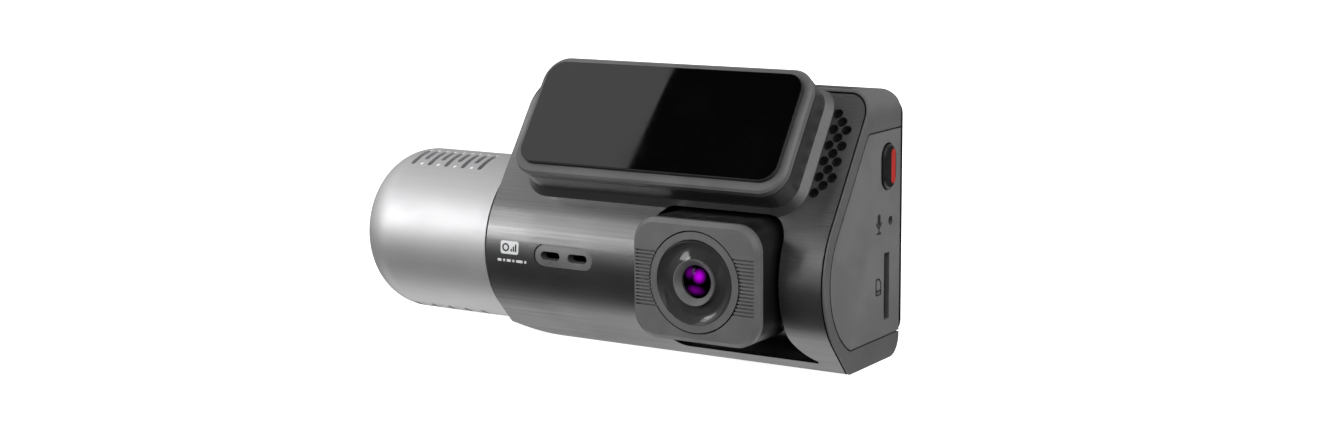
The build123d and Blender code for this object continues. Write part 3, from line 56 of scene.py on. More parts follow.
# ---------------------------------------------------------------- places read from the frame
JOINTS = {joint["name"]: joint for joint in frame["joints"]}
AXIS = Vector(JOINTS["pod_tilt"]["pos_m"])
BODY_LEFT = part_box("rear_housing")[0].x
BODY_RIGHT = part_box("side_cover")[1].x
ARC_RADIUS = AXIS.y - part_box("rear_housing")[0].y
DRUM_RADIUS = (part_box("drum_shell")[1].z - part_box("drum_shell")[0].z) / 2
PUPIL_RADIUS = (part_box("lens_front_glass")[1].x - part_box("lens_front_glass")[0].x) / 2
GLASS_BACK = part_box("display_glass")[1].y

# Camera: turned round the object, raised, and rolled a little
CAMERA_AZIMUTH = 32.21
CAMERA_ELEVATION = 9.61
CAMERA_ROLL = -0.45
CAMERA_PLACE = (0.21829, -0.32696, 0.09067)
SENSOR_WIDTH = 36.0

# Drum vents, as in the part: columns from the far end, and the angles of the round holes
VENT_COLUMNS = 9
VENT_FIRST = -24.5 * MM
VENT_PITCH = 2.05 * MM
VENT_DOT_DEG = 84.0
VENT_LOW_DEG = 62.5
VENT_HOLE_RADIUS = 0.5 * MM

# Printed marks and small pieces
AXIS_TO_BADGE = 1.25 * MM       # up to the badge's middle, and down to the dashes
STRIP = 0.4 * MM                # a flat print is cut into strips this high to follow the curve
MARK_BARS = (0.5, 0.95, 1.4)    # heights, in mm, of the badge's three bars
DASHES = (0.9, 0.45, 0.9, 0.45, 1.5, 0.45)  # lengths in mm
DASH_GAP = 0.4
SIGN_FORWARD = 4.25 * MM        # both end signs, from the axis towards the display
MICROPHONE_UP = 8.35 * MM
CARD_UP = -3.2 * MM
SIGN_SIZE = 1.25
CARD_SIGN = (2.3 * MM, 1.5 * MM)
CARD_LINE = 0.22 * MM
STUD_SINK = 0.27 * MM
SCREEN_FILM = 0.03 * MM
SCREEN_MARGIN = 1.5 * MM        # black border inside the display module's edge
TOUCH_SPACING = 10.0 * MM
CONTACT_COUNT = 8
CONTACT_PITCH = 0.68 * MM
CONTACT_OFF_MIDDLE = 0.37 * MM
CONTACT_SINK = 2.2 * MM
CONTACT_SIZE = (0.34 * MM, 0.05 * MM, 2.2 * MM)
WELD = 0.0005 * MM
SHARP_DEG = 35.0

# Gloss, shared by more than one finish
COAT_ROUGH = 0.12
GLOSS_SPREAD = 0.08             # how far smudges change a moulded finish's roughness
# strength of the painted glow of the lens glints
LENS_PAINTED_GLOW = 0.6
LENS_SHEEN = 0.05
LENS_ROUGH = (0.03, 0.07)

# Painted glints of the lens coating: x, z, reach and flatness in shares of the pupil, and strength
LENS_PAINTED_GLINTS = (
    (-0.55, 0.46, 0.45, 1.0, 0.22),
    (-0.14, -0.50, 0.70, 0.50, 0.24),
    (0.12, 0.30, 0.48, 1.0, 1.0),
)

# Stage, in metres: lights, flag and floor, and the sky's tone at each height
AIM_LEFT = 20 * MM              # the lights look this far left of the road camera
BROAD_PLACE = (-0.48, -0.62, 0.35)
BROAD_SIZE = (0.55, 0.38)
# Softboxes that reflections don't see: name, place, size and the setting with the power
SOFTBOXES = (
    ("side_light", (0.75, 0.05, 0.25), (0.50, 0.50), "side_power"),
    ("fill_light", (0.10, -0.80, 0.55), (0.60, 0.30), "fill_power"),
    ("rear_light", (0.20, 0.85, 0.45), (0.60, 0.40), "rear_power"),
)
CLIP_START = 0.01
FLOOR_RADIUS = 6.0
FLOOR_DROP = 0.02 * MM
WINDOW_PLACE = (-0.42, -0.62, 0.17)
WINDOW_PANE = (0.165, 0.08)
WINDOW_BAR = 0.02
FLAG_DISTANCE = 0.45
FLAG_SIZE = 0.5
FLAG_EDGE = (0.46, 0.506)       # where its edge shows on the liner, low and high, in shares
FLOOR_GLOW = 0.92
SKY_TONES = (
    (-1.0, 0.03), (-0.25, 0.02), (0.1, 0.35), (0.4, 0.75), (0.78, 0.8), (0.93, 0.35), (1.0, 0.3)
)
BEHIND_TONE = 0.5               # the sky behind the object, against that in front
LOW_GLOW = 0.95                 # strength of the glow from below and behind
BLACK = (0.0, 0.0, 0.0, 1.0)
WHITE = (1.0, 1.0, 1.0, 1.0)


# ---------------------------------------------------------------- what a user can change
def colour_setting(name, description, default):
    """A colour setting."""
    return bpy.props.FloatVectorProperty(
        name=name, description=description, default=default, subtype="COLOR"
    )


def length_setting(name, description, default):
    """A length setting, in metres."""
    return bpy.props.FloatProperty(
        name=name, description=description, default=default, unit="LENGTH"
    )


def power_setting(name, description, default):
    """A light's power, in watts."""
    return bpy.props.FloatProperty(
        name=name, description=description, default=default, unit="POWER"
    )


class BadgeSizes(bpy.types.PropertyGroup):
    """The badge and the marks printed on the body."""

    width: length_setting("Badge width", "Width of the pale badge", 4.1 * MM)
    height: length_setting("Badge height", "Height of the pale badge", 2.5 * MM)
    inset: length_setting("Badge inset", "From the body's left face", 3.4 * MM)
    film: length_setting("Print thickness", "How far a print stands out", 0.05 * MM)
    ink: colour_setting("Pale ink", "Colour of the pale prints", (0.86, 0.87, 0.88))
    dark_ink: colour_setting("Dark ink", "Colour of the dark prints", (0.022, 0.022, 0.024))


class BodyColours(bpy.types.PropertyGroup):
    """Colours of the housings."""

    front: colour_setting("Front shell", "Brushed metal front", (0.265, 0.265, 0.268))
    housing: colour_setting("Housing", "Moulded rear housing", (0.125, 0.125, 0.127))
    cover: colour_setting("Side cover", "Inset end cover", (0.165, 0.165, 0.167))
    drum: colour_setting("Drum", "Satin silver drum", (0.74, 0.74, 0.75))
    bracket: colour_setting("Bracket", "Windscreen bracket", (0.135, 0.135, 0.137))
    pod: colour_setting("Camera pod", "Road camera's housing", (0.008, 0.008, 0.009))
    faceplate: colour_setting("Faceplate", "Road camera's grooved face", (0.190, 0.190, 0.193))
    key_red: colour_setting("Key stripe", "Red stripe in the power key", (0.48, 0.035, 0.028))


class LensColours(bpy.types.PropertyGroup):
    """The road camera's dish and rim, and the colour of the painted coating glints on both lenses.
    """

    dish: colour_setting("Dish", "Glossy dish round the lens", (0.045, 0.045, 0.046))
    rim: colour_setting("Rim", "Cone that leads in to the lens", (0.20, 0.20, 0.20))
    # coating: colour of the painted violet glints, which glow, standing in for the coating's
    # reflection
    coating: colour_setting("Coating", "Colour of the lens coating", (0.42, 0.0, 0.62))


class StageSettings(bpy.types.PropertyGroup):
    """Floor, lights and camera."""

    focal_length: bpy.props.FloatProperty(
        name="Focal length", description="Camera lens in millimetres", default=56.9
    )
    floor_tone: bpy.props.FloatProperty(
        name="Floor tone", description="How pale the floor is", default=0.93, subtype="FACTOR"
    )
    key_power: power_setting("Key light", "Power of each pane of the left front window", 0.20)
    side_power: power_setting("Side light", "Power of the right softbox", 3.2)
    broad_power: power_setting("Broad light", "Power of the left front softbox", 1.9)
    rear_power: power_setting("Rear light", "Power of the softbox behind", 2.5)
    fill_power: power_setting("Fill light", "Power of the front softbox", 1.5)


# ---------------------------------------------------------------- shader nodes
def add_node(tree, kind, **settings):
    """A node of that kind with some of its settings."""
    made = tree.nodes.new(kind)
    for name, value in settings.items():
        setattr(made, name, value)
    return made


def feed(tree, target, source):
    """Gives a socket a value, or a link from another socket."""
    if isinstance(source, bpy.types.NodeSocket):
        tree.links.new(source, target)
    else:
        target.default_value = source


def maths(tree, operation, first, second=0.0):
    """One Math node's result."""
    made = add_node(tree, "ShaderNodeMath", operation=operation)
    feed(tree, made.inputs[0], first)
    feed(tree, made.inputs[1], second)
    return made.outputs[0]


def scaled(tree, vector, factors):
    """A vector multiplied side by side by another."""
    made = add_node(tree, "ShaderNodeVectorMath", operation="MULTIPLY")
    feed(tree, made.inputs[0], vector)
    feed(tree, made.inputs[1], factors)
    return made.outputs[0]


def blend_colours(tree, factor, first, second):
    """A mix of two colours."""
    made = add_node(tree, "ShaderNodeMix", data_type="RGBA")
    feed(tree, made.inputs["Factor"], factor)
    feed(tree, made.inputs[6], first)
    feed(tree, made.inputs[7], second)
    return made.outputs[2]


def remap(tree, value, low, high, new_low, new_high, smooth=False):
    """A value carried from one range to another."""
    made = add_node(tree, "ShaderNodeMapRange")
    if smooth:
        made.interpolation_type = "SMOOTHSTEP"
    feed(tree, made.inputs["Value"], value)
    for name, number in (
        ("From Min", low), ("From Max", high), ("To Min", new_low), ("To Max", new_high)
    ):
        feed(tree, made.inputs[name], number)
    return made.outputs["Result"]


def noise(tree, vector, scale, detail=3.0, roughness=0.55):
    """A noise texture's value."""
    made = add_node(tree, "ShaderNodeTexNoise")
    feed(tree, made.inputs["Vector"], vector)
    feed(tree, made.inputs["Scale"], scale)
    made.inputs["Detail"].default_value = detail
    made.inputs["Roughness"].default_value = roughness
    return made.outputs["Fac"]


def object_place(tree):
    """The place on the object, in its own metres."""
    return add_node(tree, "ShaderNodeTexCoord").outputs["Object"]


def new_group(name, inputs, outputs):
    """An empty node group with its sockets."""
    group = bpy.data.node_groups.new(name, "ShaderNodeTree")
    for label, kind, default in inputs:
        socket = group.interface.new_socket(name=label, in_out="INPUT", socket_type=kind)
        socket.default_value = default
    for label, kind in outputs:
        group.interface.new_socket(name=label, in_out="OUTPUT", socket_type=kind)
    entry = add_node(group, "NodeGroupInput")
    leave = add_node(group, "NodeGroupOutput")
    return group, entry.outputs, leave.inputs


FLOAT = "NodeSocketFloat"


def make_grain_group():
    """Fine moulded grain: a pebbled height, and where it is worn flatter."""
    group, given, out = new_group(
        "Moulded grain",
        [("Scale", FLOAT, 3000.0), ("Pebbles", FLOAT, 0.5)],
        [("Height", FLOAT), ("Worn", FLOAT)],
    )
    place = object_place(group)
    cells = add_node(group, "ShaderNodeTexVoronoi", feature="SMOOTH_F1")
    feed(group, cells.inputs["Vector"], place)
    feed(group, cells.inputs["Scale"], given["Scale"])
    fine = noise(group, place, maths(group, "MULTIPLY", given["Scale"], 1.7), 2.0)
    pebble = maths(group, "MULTIPLY", cells.outputs["Distance"], given["Pebbles"])
    feed(group, out["Height"], maths(group, "ADD", fine, pebble))
    worn = noise(group, place, maths(group, "MULTIPLY", given["Scale"], 0.03), 4.0)
    feed(group, out["Worn"], remap(group, worn, 0.35, 0.7, 0.0, 1.0, smooth=True))
    return group


def make_brushed_group():
    """Long fine streaks along X: a tone, a height and a broad cloud."""
    group, given, out = new_group(
        "Brushed streaks",
        [("Along", FLOAT, 30.0), ("Across", FLOAT, 7000.0)],
        [("Tone", FLOAT), ("Height", FLOAT), ("Cloud", FLOAT)],
    )
    place = object_place(group)
    stretch = add_node(group, "ShaderNodeCombineXYZ")
    feed(group, stretch.inputs["X"], given["Along"])
    feed(group, stretch.inputs["Y"], given["Across"])
    feed(group, stretch.inputs["Z"], given["Across"])
    along = scaled(group, place, stretch.outputs["Vector"])
    fine = noise(group, along, 1.0, 4.0, 0.7)
    coarse = noise(group, along, 0.5, 3.0, 0.6)
    both = maths(
        group, "ADD", maths(group, "MULTIPLY", fine, 0.6), maths(group, "MULTIPLY", coarse, 0.4)
    )
    feed(group, out["Tone"], remap(group, both, 0.32, 0.68, 0.0, 1.0))
    feed(group, out["Height"], fine)
    feed(group, out["Cloud"], noise(group, place, 55.0, 3.0))
    return group


def make_handling_group():
    """Faint smudges and dust specks from handling."""
    group, given, out = new_group(
        "Handling marks",
        [("Scale", FLOAT, 90.0), ("Dust", FLOAT, 0.5)],
        [("Smudge", FLOAT), ("Specks", FLOAT)],
    )
    place = object_place(group)
    cloud = noise(group, place, given["Scale"], 5.0, 0.6)
    feed(group, out["Smudge"], remap(group, cloud, 0.4, 0.66, 0.0, 1.0, smooth=True))
    cells = add_node(group, "ShaderNodeTexVoronoi", feature="F1")
    feed(group, cells.inputs["Vector"], place)
    feed(group, cells.inputs["Scale"], maths(group, "MULTIPLY", given["Scale"], 24.0))
    near = remap(group, cells.outputs["Distance"], 0.06, 0.1, 1.0, 0.0)
    some = maths(group, "GREATER_THAN", noise(group, place, 900.0, 1.0), 0.62)
    dots = maths(group, "MULTIPLY", near, some)
    feed(group, out["Specks"], maths(group, "MULTIPLY", dots, given["Dust"]))
    return group


def place_group(tree, name, **values):
    """A shared node group with this material's own values."""
    made = add_node(tree, "ShaderNodeGroup", node_tree=bpy.data.node_groups[name])
    for label, value in values.items():
        feed(tree, made.inputs[label], value)
    return made.outputs


def new_material(name):
    """A material with one Principled shader."""
    material = bpy.data.materials.new(name)
    material.use_nodes = True
    tree = material.node_tree
    tree.nodes.clear()
    shader = add_node(tree, "ShaderNodeBsdfPrincipled")
    output = add_node(tree, "ShaderNodeOutputMaterial")
    tree.links.new(shader.outputs["BSDF"], output.inputs["Surface"])
    return material, tree, shader


def shade(colour, factor):
    """A colour made lighter or darker, with full alpha."""
    return tuple(min(1.0, part * factor) for part in colour[:3]) + (1.0,)


def bump(tree, shader, height, depth, strength=1.0):
    """Feeds a height to the shader's normal, with its depth in metres."""
    made = add_node(tree, "ShaderNodeBump")
    made.inputs["Distance"].default_value = depth
    made.inputs["Strength"].default_value = strength
    feed(tree, made.inputs["Height"], height)
    tree.links.new(made.outputs["Normal"], shader.inputs["Normal"])


def moulded(
    name, colour, rough, spread=GLOSS_SPREAD, grain=3000.0, depth=0.012, metallic=0.0,
    coat=0.0, tone=0.10, dust=0.3, sheen=0.5,
):
    """Plastic, paint, rubber or dull metal: grain, handling marks and uneven gloss."""
    material, tree, shader = new_material(name)
    surface = place_group(tree, "Moulded grain", Scale=grain)
    marks = place_group(tree, "Handling marks", Dust=dust)
    base = blend_colours(
        tree, surface["Worn"], shade(colour, 1.0 - tone), shade(colour, 1.0 + tone)
    )
    dusty = blend_colours(tree, marks["Specks"], base, shade(colour, 1.0 + 4 * tone))
    feed(tree, shader.inputs["Base Color"], dusty)
    gloss = remap(tree, marks["Smudge"], 0.0, 1.0, rough - spread, rough + spread)
    feed(tree, shader.inputs["Roughness"], gloss)
    shader.inputs["Metallic"].default_value = metallic
    shader.inputs["Coat Weight"].default_value = coat
    shader.inputs["Coat Roughness"].default_value = COAT_ROUGH
    shader.inputs["Specular IOR Level"].default_value = sheen
    bump(tree, shader, surface["Height"], depth * MM)
    return material


def brushed(name, colour, rough=0.30, streak=0.14, metallic=0.9):
    """Metal brushed along X."""
    material, tree, shader = new_material(name)
    lines = place_group(tree, "Brushed streaks")
    marks = place_group(tree, "Handling marks", Dust=0.2)
    base = blend_colours(
        tree, lines["Tone"], shade(colour, 1.0 - streak), shade(colour, 1.0 + streak)
    )
    cloudy = blend_colours(tree, maths(tree, "MULTIPLY", lines["Cloud"], 0.3), base,
                           shade(colour, 0.8))
    feed(tree, shader.inputs["Base Color"], cloudy)
    gloss = remap(tree, lines["Tone"], 0.0, 1.0, rough + 0.07, rough - 0.05)
    smudged = maths(tree, "ADD", gloss, maths(tree, "MULTIPLY", marks["Smudge"], 0.05))
    feed(tree, shader.inputs["Roughness"], smudged)
    shader.inputs["Metallic"].default_value = metallic
    shader.inputs["Anisotropic"].default_value = 0.45
    bump(tree, shader, lines["Height"], 0.003 * MM)
    return material


def sparkle_silver(name, colour):
    """Bead-blasted silver paint with fine sparkle."""
    material, tree, shader = new_material(name)
    surface = place_group(tree, "Moulded grain", Scale=5200.0, Pebbles=0.2)
    lines = place_group(tree, "Brushed streaks", Across=2600.0)
    marks = place_group(tree, "Handling marks", Dust=0.15)
    base = blend_colours(tree, surface["Height"], shade(colour, 0.94), shade(colour, 1.05))
    streaked = blend_colours(
        tree, maths(tree, "MULTIPLY", lines["Tone"], 0.16), base, shade(colour, 0.75)
    )
    feed(tree, shader.inputs["Base Color"], streaked)
    gloss = remap(tree, marks["Smudge"], 0.0, 1.0, 0.46, 0.52)
    feed(tree, shader.inputs["Roughness"], gloss)
    shader.inputs["Metallic"].default_value = 0.7
    bump(tree, shader, surface["Height"], 0.006 * MM)
    return material


def gloss_film(name, colour, rough=0.06, sheen=0.5):
    """Glossy film with faint ripples and smudges."""
    material, tree, shader = new_material(name)
    marks = place_group(tree, "Handling marks", Dust=0.12)
    base = blend_colours(tree, marks["Smudge"], shade(colour, 0.85), shade(colour, 1.2))
    feed(tree, shader.inputs["Base Color"], base)
    feed(tree, shader.inputs["Roughness"],
         remap(tree, marks["Smudge"], 0.0, 1.0, rough, rough + 0.03))
    shader.inputs["Specular IOR Level"].default_value = sheen
    ripple = noise(tree, object_place(tree), 60.0, 1.0)
    bump(tree, shader, ripple, 0.003 * MM, 0.3)
    return material


def circuit_board(name):
    """Solder mask over copper tracks, with pads and through holes."""
    material, tree, shader = new_material(name)
    place = object_place(tree)
    tracks = add_node(tree, "ShaderNodeTexBrick")
    feed(tree, tracks.inputs["Vector"], place)
    tracks.inputs["Scale"].default_value = 420.0
    tracks.inputs["Mortar Size"].default_value = 0.035
    cells = add_node(tree, "ShaderNodeTexVoronoi", feature="F1")
    feed(tree, cells.inputs["Vector"], place)
    cells.inputs["Scale"].default_value = 650.0
    pads = maths(tree, "LESS_THAN", cells.outputs["Distance"], 0.22)
    mask = blend_colours(tree, tracks.outputs["Fac"], (0.006, 0.030, 0.018, 1.0),
                         (0.012, 0.060, 0.034, 1.0))
    feed(tree, shader.inputs["Base Color"],
         blend_colours(tree, pads, mask, (0.62, 0.46, 0.20, 1.0)))
    feed(tree, shader.inputs["Metallic"], pads)
    feed(tree, shader.inputs["Roughness"], remap(tree, pads, 0.0, 1.0, 0.42, 0.28))
    bump(tree, shader, maths(tree, "ADD", tracks.outputs["Fac"], pads), 0.02 * MM, 0.5)
    return material


def foam(name, colour):
    """Closed-cell foam."""
    material, tree, shader = new_material(name)
    cells = add_node(tree, "ShaderNodeTexVoronoi", feature="SMOOTH_F1")
    feed(tree, cells.inputs["Vector"], object_place(tree))
    cells.inputs["Scale"].default_value = 4200.0
    feed(tree, shader.inputs["Base Color"],
         blend_colours(tree, cells.outputs["Distance"], shade(colour, 0.6), shade(colour, 1.5)))
    feed(tree, shader.inputs["Roughness"],
         remap(tree, cells.outputs["Distance"], 0.0, 1.0, 0.75, 0.95))
    bump(tree, shader, cells.outputs["Distance"], 0.06 * MM)
    return material


def woven_mesh(name):
    """Fine black wire cloth."""
    material, tree, shader = new_material(name)
    waves = []
    for direction in ("X", "Z"):
        wave = add_node(tree, "ShaderNodeTexWave", bands_direction=direction)
        feed(tree, wave.inputs["Vector"], object_place(tree))
        wave.inputs["Scale"].default_value = 1600.0
        waves.append(wave.outputs["Fac"])
    weave = maths(tree, "MULTIPLY", waves[0], waves[1])
    feed(tree, shader.inputs["Base Color"],
         blend_colours(tree, weave, (0.004, 0.004, 0.004, 1.0), (0.05, 0.05, 0.052, 1.0)))
    feed(tree, shader.inputs["Roughness"], remap(tree, weave, 0.0, 1.0, 0.7, 0.4))
    bump(tree, shader, weave, 0.05 * MM)
    return material


def ridged(name, colour, rough, metallic):
    """Turned metal with fine rings along Y."""
    material, tree, shader = new_material(name)
    wave = add_node(tree, "ShaderNodeTexWave", bands_direction="Y")
    feed(tree, wave.inputs["Vector"], object_place(tree))
    wave.inputs["Scale"].default_value = 2400.0
    marks = place_group(tree, "Handling marks")
    feed(tree, shader.inputs["Base Color"],
         blend_colours(tree, wave.outputs["Fac"], shade(colour, 0.85), shade(colour, 1.15)))
    feed(tree, shader.inputs["Roughness"],
         remap(tree, marks["Smudge"], 0.0, 1.0, rough - 0.05, rough + 0.07))
    shader.inputs["Metallic"].default_value = metallic
    bump(tree, shader, wave.outputs["Fac"], 0.008 * MM)
    return material


def offset_from_lens(tree, centre):
    """Where a point is from the lens's axis, looking along Y."""
    mapping = add_node(tree, "ShaderNodeMapping")
    feed(tree, mapping.inputs["Vector"], object_place(tree))
    mapping.inputs["Location"].default_value = (-centre.x, 0.0, -centre.z)
    mapping.inputs["Scale"].default_value = (1.0, 0.0, 1.0)
    return mapping.outputs["Vector"]


def painted_glint(tree, offset, pupil, x, z, reach, flat):
    """A soft painted glint on the glass, placed in shares of the pupil's radius."""
    mapping = add_node(tree, "ShaderNodeMapping")
    feed(tree, mapping.inputs["Vector"], offset)
    mapping.inputs["Location"].default_value = (-x * pupil, 0.0, -z * pupil / flat)
    mapping.inputs["Scale"].default_value = (1.0, 0.0, 1.0 / flat)
    length = add_node(tree, "ShaderNodeVectorMath", operation="LENGTH")
    feed(tree, length.inputs[0], mapping.outputs["Vector"])
    return remap(tree, length.outputs["Value"], 0.0, reach * pupil, 1.0, 0.0, smooth=True)


def lens_with_painted_glints(name, centre, colour, pupil):
    """Black lens glass with three painted violet glints of its coating's reflection; they also
    glow.
    """
    material, tree, shader = new_material(name)
    offset = offset_from_lens(tree, centre)
    # painted reflection: violet glints go to both colour and emission, so they glow
    painted_glints = BLACK
    for x, z, reach, flat, glow in LENS_PAINTED_GLINTS:
        spot = painted_glint(tree, offset, pupil, x, z, reach, flat)
        painted_glints = blend_colours(tree, spot, painted_glints, shade(colour, glow))
    feed(tree, shader.inputs["Base Color"], painted_glints)
    feed(tree, shader.inputs["Emission Color"], painted_glints)
    shader.inputs["Emission Strength"].default_value = LENS_PAINTED_GLOW
    marks = place_group(tree, "Handling marks", Dust=0.0)
    feed(tree, shader.inputs["Roughness"], remap(tree, marks["Smudge"], 0.0, 1.0, *LENS_ROUGH))
    shader.inputs["Specular IOR Level"].default_value = LENS_SHEEN
    return material


def black_glass(name):
    """The display's cover glass: a black border round a slightly paler screen."""
    material, tree, shader = new_material(name)
    low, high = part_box("display_panel")
    mapping = add_node(tree, "ShaderNodeMapping")
    feed(tree, mapping.inputs["Vector"], object_place(tree))
    mapping.inputs["Location"].default_value = (-(low.x + high.x) / 2, 0.0, -(low.z + high.z) / 2)
    parts = add_node(tree, "ShaderNodeSeparateXYZ")
    feed(tree, parts.inputs[0], mapping.outputs["Vector"])
    inside = []
    for axis, half in (("X", (high.x - low.x) / 2), ("Z", (high.z - low.z) / 2)):
        away = maths(tree, "ABSOLUTE", parts.outputs[axis])
        inside.append(maths(tree, "LESS_THAN", away, half - SCREEN_MARGIN))
    screen = maths(tree, "MULTIPLY", inside[0], inside[1])
    marks = place_group(tree, "Handling marks", Dust=0.1)
    feed(tree, shader.inputs["Base Color"],
         blend_colours(tree, screen, (0.004, 0.004, 0.005, 1.0), (0.016, 0.018, 0.021, 1.0)))
    feed(tree, shader.inputs["Roughness"], remap(tree, marks["Smudge"], 0.0, 1.0, 0.05, 0.10))
    shader.inputs["Coat Weight"].default_value = 1.0
    shader.inputs["Coat Roughness"].default_value = 0.03
    bump(tree, shader, marks["Smudge"], 0.001 * MM, 0.2)
    return material


# ---------------------------------------------------------------- meshes
def finish_piece(name, mesh, body, material, smooth=True):
    """Makes a mesh into a piece that rides on a body."""
    bmesh.ops.remove_doubles(mesh, verts=mesh.verts, dist=WELD)
    bmesh.ops.recalc_face_normals(mesh, faces=mesh.faces)
    data = bpy.data.meshes.new(name)
    mesh.to_mesh(data)
    mesh.free()
    if smooth:
        data.shade_smooth()
        data.set_sharp_from_angle(angle=math.radians(SHARP_DEG))
    data.materials.append(material)
    piece = bpy.data.objects.new(name, data)
    bpy.context.scene.collection.objects.link(piece)
    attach(piece, body)


def add_plate(mesh, width, height, thickness, corner=0.0, steps=5, centre=(0.0, 0.0)):
    """A plate in x and z around a centre, with its front at -thickness in y."""
    corners = [
        mesh.verts.new((centre[0] + sx * width / 2, 0.0, centre[1] + sz * height / 2))
        for sx, sz in ((-1, -1), (1, -1), (1, 1), (-1, 1))
    ]
    face = mesh.faces.new(corners)
    if corner > 0.0:
        made = bmesh.ops.bevel(
            mesh, geom=corners, offset=corner, offset_type="OFFSET", segments=steps,
            profile=0.5, affect="VERTICES", material=-1,
        )
        face = made["verts"][0].link_faces[0]
    raised = bmesh.ops.extrude_face_region(mesh, geom=[face])
    tops = [item for item in raised["geom"] if isinstance(item, bmesh.types.BMVert)]
    bmesh.ops.translate(mesh, vec=(0.0, -thickness, 0.0), verts=tops)


def add_ring(mesh, outer, inner, thickness, centre, steps=32, turn=360.0, start=0.0):
    """A flat ring, or part of one, spun about Y from a small upright section."""
    begin = math.radians(start)
    ray = Vector((math.cos(begin), 0.0, math.sin(begin)))
    middle = Vector((centre[0], 0.0, centre[1]))
    section = []
    for radius, y in ((inner, 0.0), (outer, 0.0), (outer, -thickness), (inner, -thickness)):
        section.append(mesh.verts.new(middle + ray * radius + Vector((0.0, y, 0.0))))
    full = turn == 360.0
    if full:
        shape = [mesh.edges.new((section[i - 1], section[i])) for i in range(len(section))]
    else:
        face = mesh.faces.new(section)
        shape = [face, *face.edges]
    bmesh.ops.spin(
        mesh, geom=[*section, *shape], cent=middle, axis=(0.0, -1.0, 0.0),
        angle=math.radians(turn), steps=steps, use_merge=full, use_duplicate=False,
    )


def slice_along_z(mesh):
    """Cuts a flat mesh into strips, so that it can follow the body's curve."""
    heights = [v.co.z for v in mesh.verts]
    z = min(heights) + STRIP
    while z < max(heights):
        everything = [*mesh.verts, *mesh.edges, *mesh.faces]
        bmesh.ops.bisect_plane(
            mesh, geom=everything, dist=1e-9, plane_co=(0.0, 0.0, z), plane_no=(0.0, 0.0, 1.0)
        )
        z += STRIP


def wrap_on_front(mesh, x):
    """Lays a flat print on the front arc: z becomes the way round it."""
    for vert in mesh.verts:
        turn = vert.co.z / ARC_RADIUS
        reach = ARC_RADIUS - vert.co.y
        vert.co = Vector((
            x + vert.co.x,
            AXIS.y - reach * math.cos(turn),
            AXIS.z + reach * math.sin(turn),
        ))


def lay_on_end(mesh, y, z):
    """Lays a flat print on the right end: x becomes up and z becomes forward."""
    for vert in mesh.verts:
        vert.co = Vector((
            BODY_RIGHT - vert.co.y, y - vert.co.z * SIGN_SIZE, z + vert.co.x * SIGN_SIZE
        ))


def lay_on_rear(mesh, x, z):
    """Lays a flat print on the display's glass."""
    for vert in mesh.verts:
        vert.co = Vector((x - vert.co.x, GLASS_BACK - vert.co.y, z + vert.co.z))


# ---------------------------------------------------------------- operators
class DASHCAM_OT_paint_body(bpy.types.Operator):
    """Gives the body's covers, display, bracket and controls their finishes"""

    bl_idname = "dashcam.paint_body"
    bl_label = "Paint body"

    def execute(self, context):
        colours = context.scene.dashcam_body
        marks = context.scene.dashcam_badge
        paint({
            brushed("brushed gunmetal", colours.front): ["front_shell"],
            moulded("housing satin", colours.housing, 0.42, grain=2600.0): ["rear_housing"],
            moulded("side cover satin", colours.cover, 0.44, grain=2600.0): ["side_cover"],
            moulded("insert trim", (0.25, 0.25, 0.252), 0.34, metallic=0.4): ["vent_insert"],
            black_glass("display glass"): ["display_glass"],
            moulded("display module", (0.02, 0.021, 0.023), 0.3): ["display_panel"],
            moulded("bracket satin", colours.bracket, 0.38, depth=0.008): ["bracket_plate"],
            moulded("socket plastic", (0.02, 0.02, 0.021), 0.5): ["bracket_socket"],
            foam("adhesive foam", (0.035, 0.035, 0.037)): ["adhesive_pad"],
            gloss_film("liner film", (0.002, 0.002, 0.0022), 0.02, sheen=0.8): ["pad_liner"],
            moulded("key satin", (0.012, 0.012, 0.013), 0.34, depth=0.006): ["power_key"],
            moulded("key stripe", colours.key_red, 0.32, depth=0.004, coat=0.4): ["key_stripe"],
            moulded("boot rubber", marks.dark_ink, 0.7, grain=4000.0): [
                "microphone_boot", "key_plunger",
            ],
            moulded("card plastic", (0.006, 0.006, 0.007), 0.5, sheen=0.15): ["memory_card"],
        })
        return {"FINISHED"}


class DASHCAM_OT_paint_cameras(bpy.types.Operator):
    """Gives the road camera, the drum and the cabin camera their finishes"""

    bl_idname = "dashcam.paint_cameras"
    bl_label = "Paint cameras"

    def execute(self, context):
        colours = context.scene.dashcam_body
        lens = context.scene.dashcam_lens
        cabin_low, cabin_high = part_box("cabin_lens_glass")
        cabin_centre = (cabin_low + cabin_high) / 2
        cabin_pupil = (cabin_high.x - cabin_low.x) * 0.3
        paint({
            moulded("pod satin", colours.pod, 0.34, grain=2800.0): ["lens_pod"],
            moulded("faceplate satin", colours.faceplate, 0.40, grain=3600.0, metallic=0.3): [
                "lens_faceplate", "lens_ring",
            ],
            gloss_film("dish gloss", lens.dish, 0.07): ["lens_bowl"],
            ridged("lens barrel", (0.012, 0.012, 0.013), 0.4, metallic=0.2): [
                "lens_barrel", "cabin_lens_barrel",
            ],
            ridged("bright rim", lens.rim, 0.42, metallic=0.3): ["lens_rim"],
            # both lens materials paint glowing violet glints of the coating's reflection
            lens_with_painted_glints("road lens coating", AXIS, lens.coating, PUPIL_RADIUS): [
                "lens_front_glass",
            ],
            lens_with_painted_glints("cabin lens coating", cabin_centre, lens.coating, cabin_pupil): [
                "cabin_lens_glass",
            ],
            gloss_film("inner glass", (0.01, 0.008, 0.014)): ["lens_inner_glass"],
            sparkle_silver("drum silver", colours.drum): ["drum_shell"],
            moulded("drum core", (0.022, 0.022, 0.024), 0.45): ["drum_core", "drum_nut"],
            gloss_film("smoked window", (0.008, 0.007, 0.010), 0.05): ["cabin_window"],
            gloss_film("lamp epoxy", (0.05, 0.03, 0.06), 0.1): ["infrared_lamps"],
        })
        return {"FINISHED"}


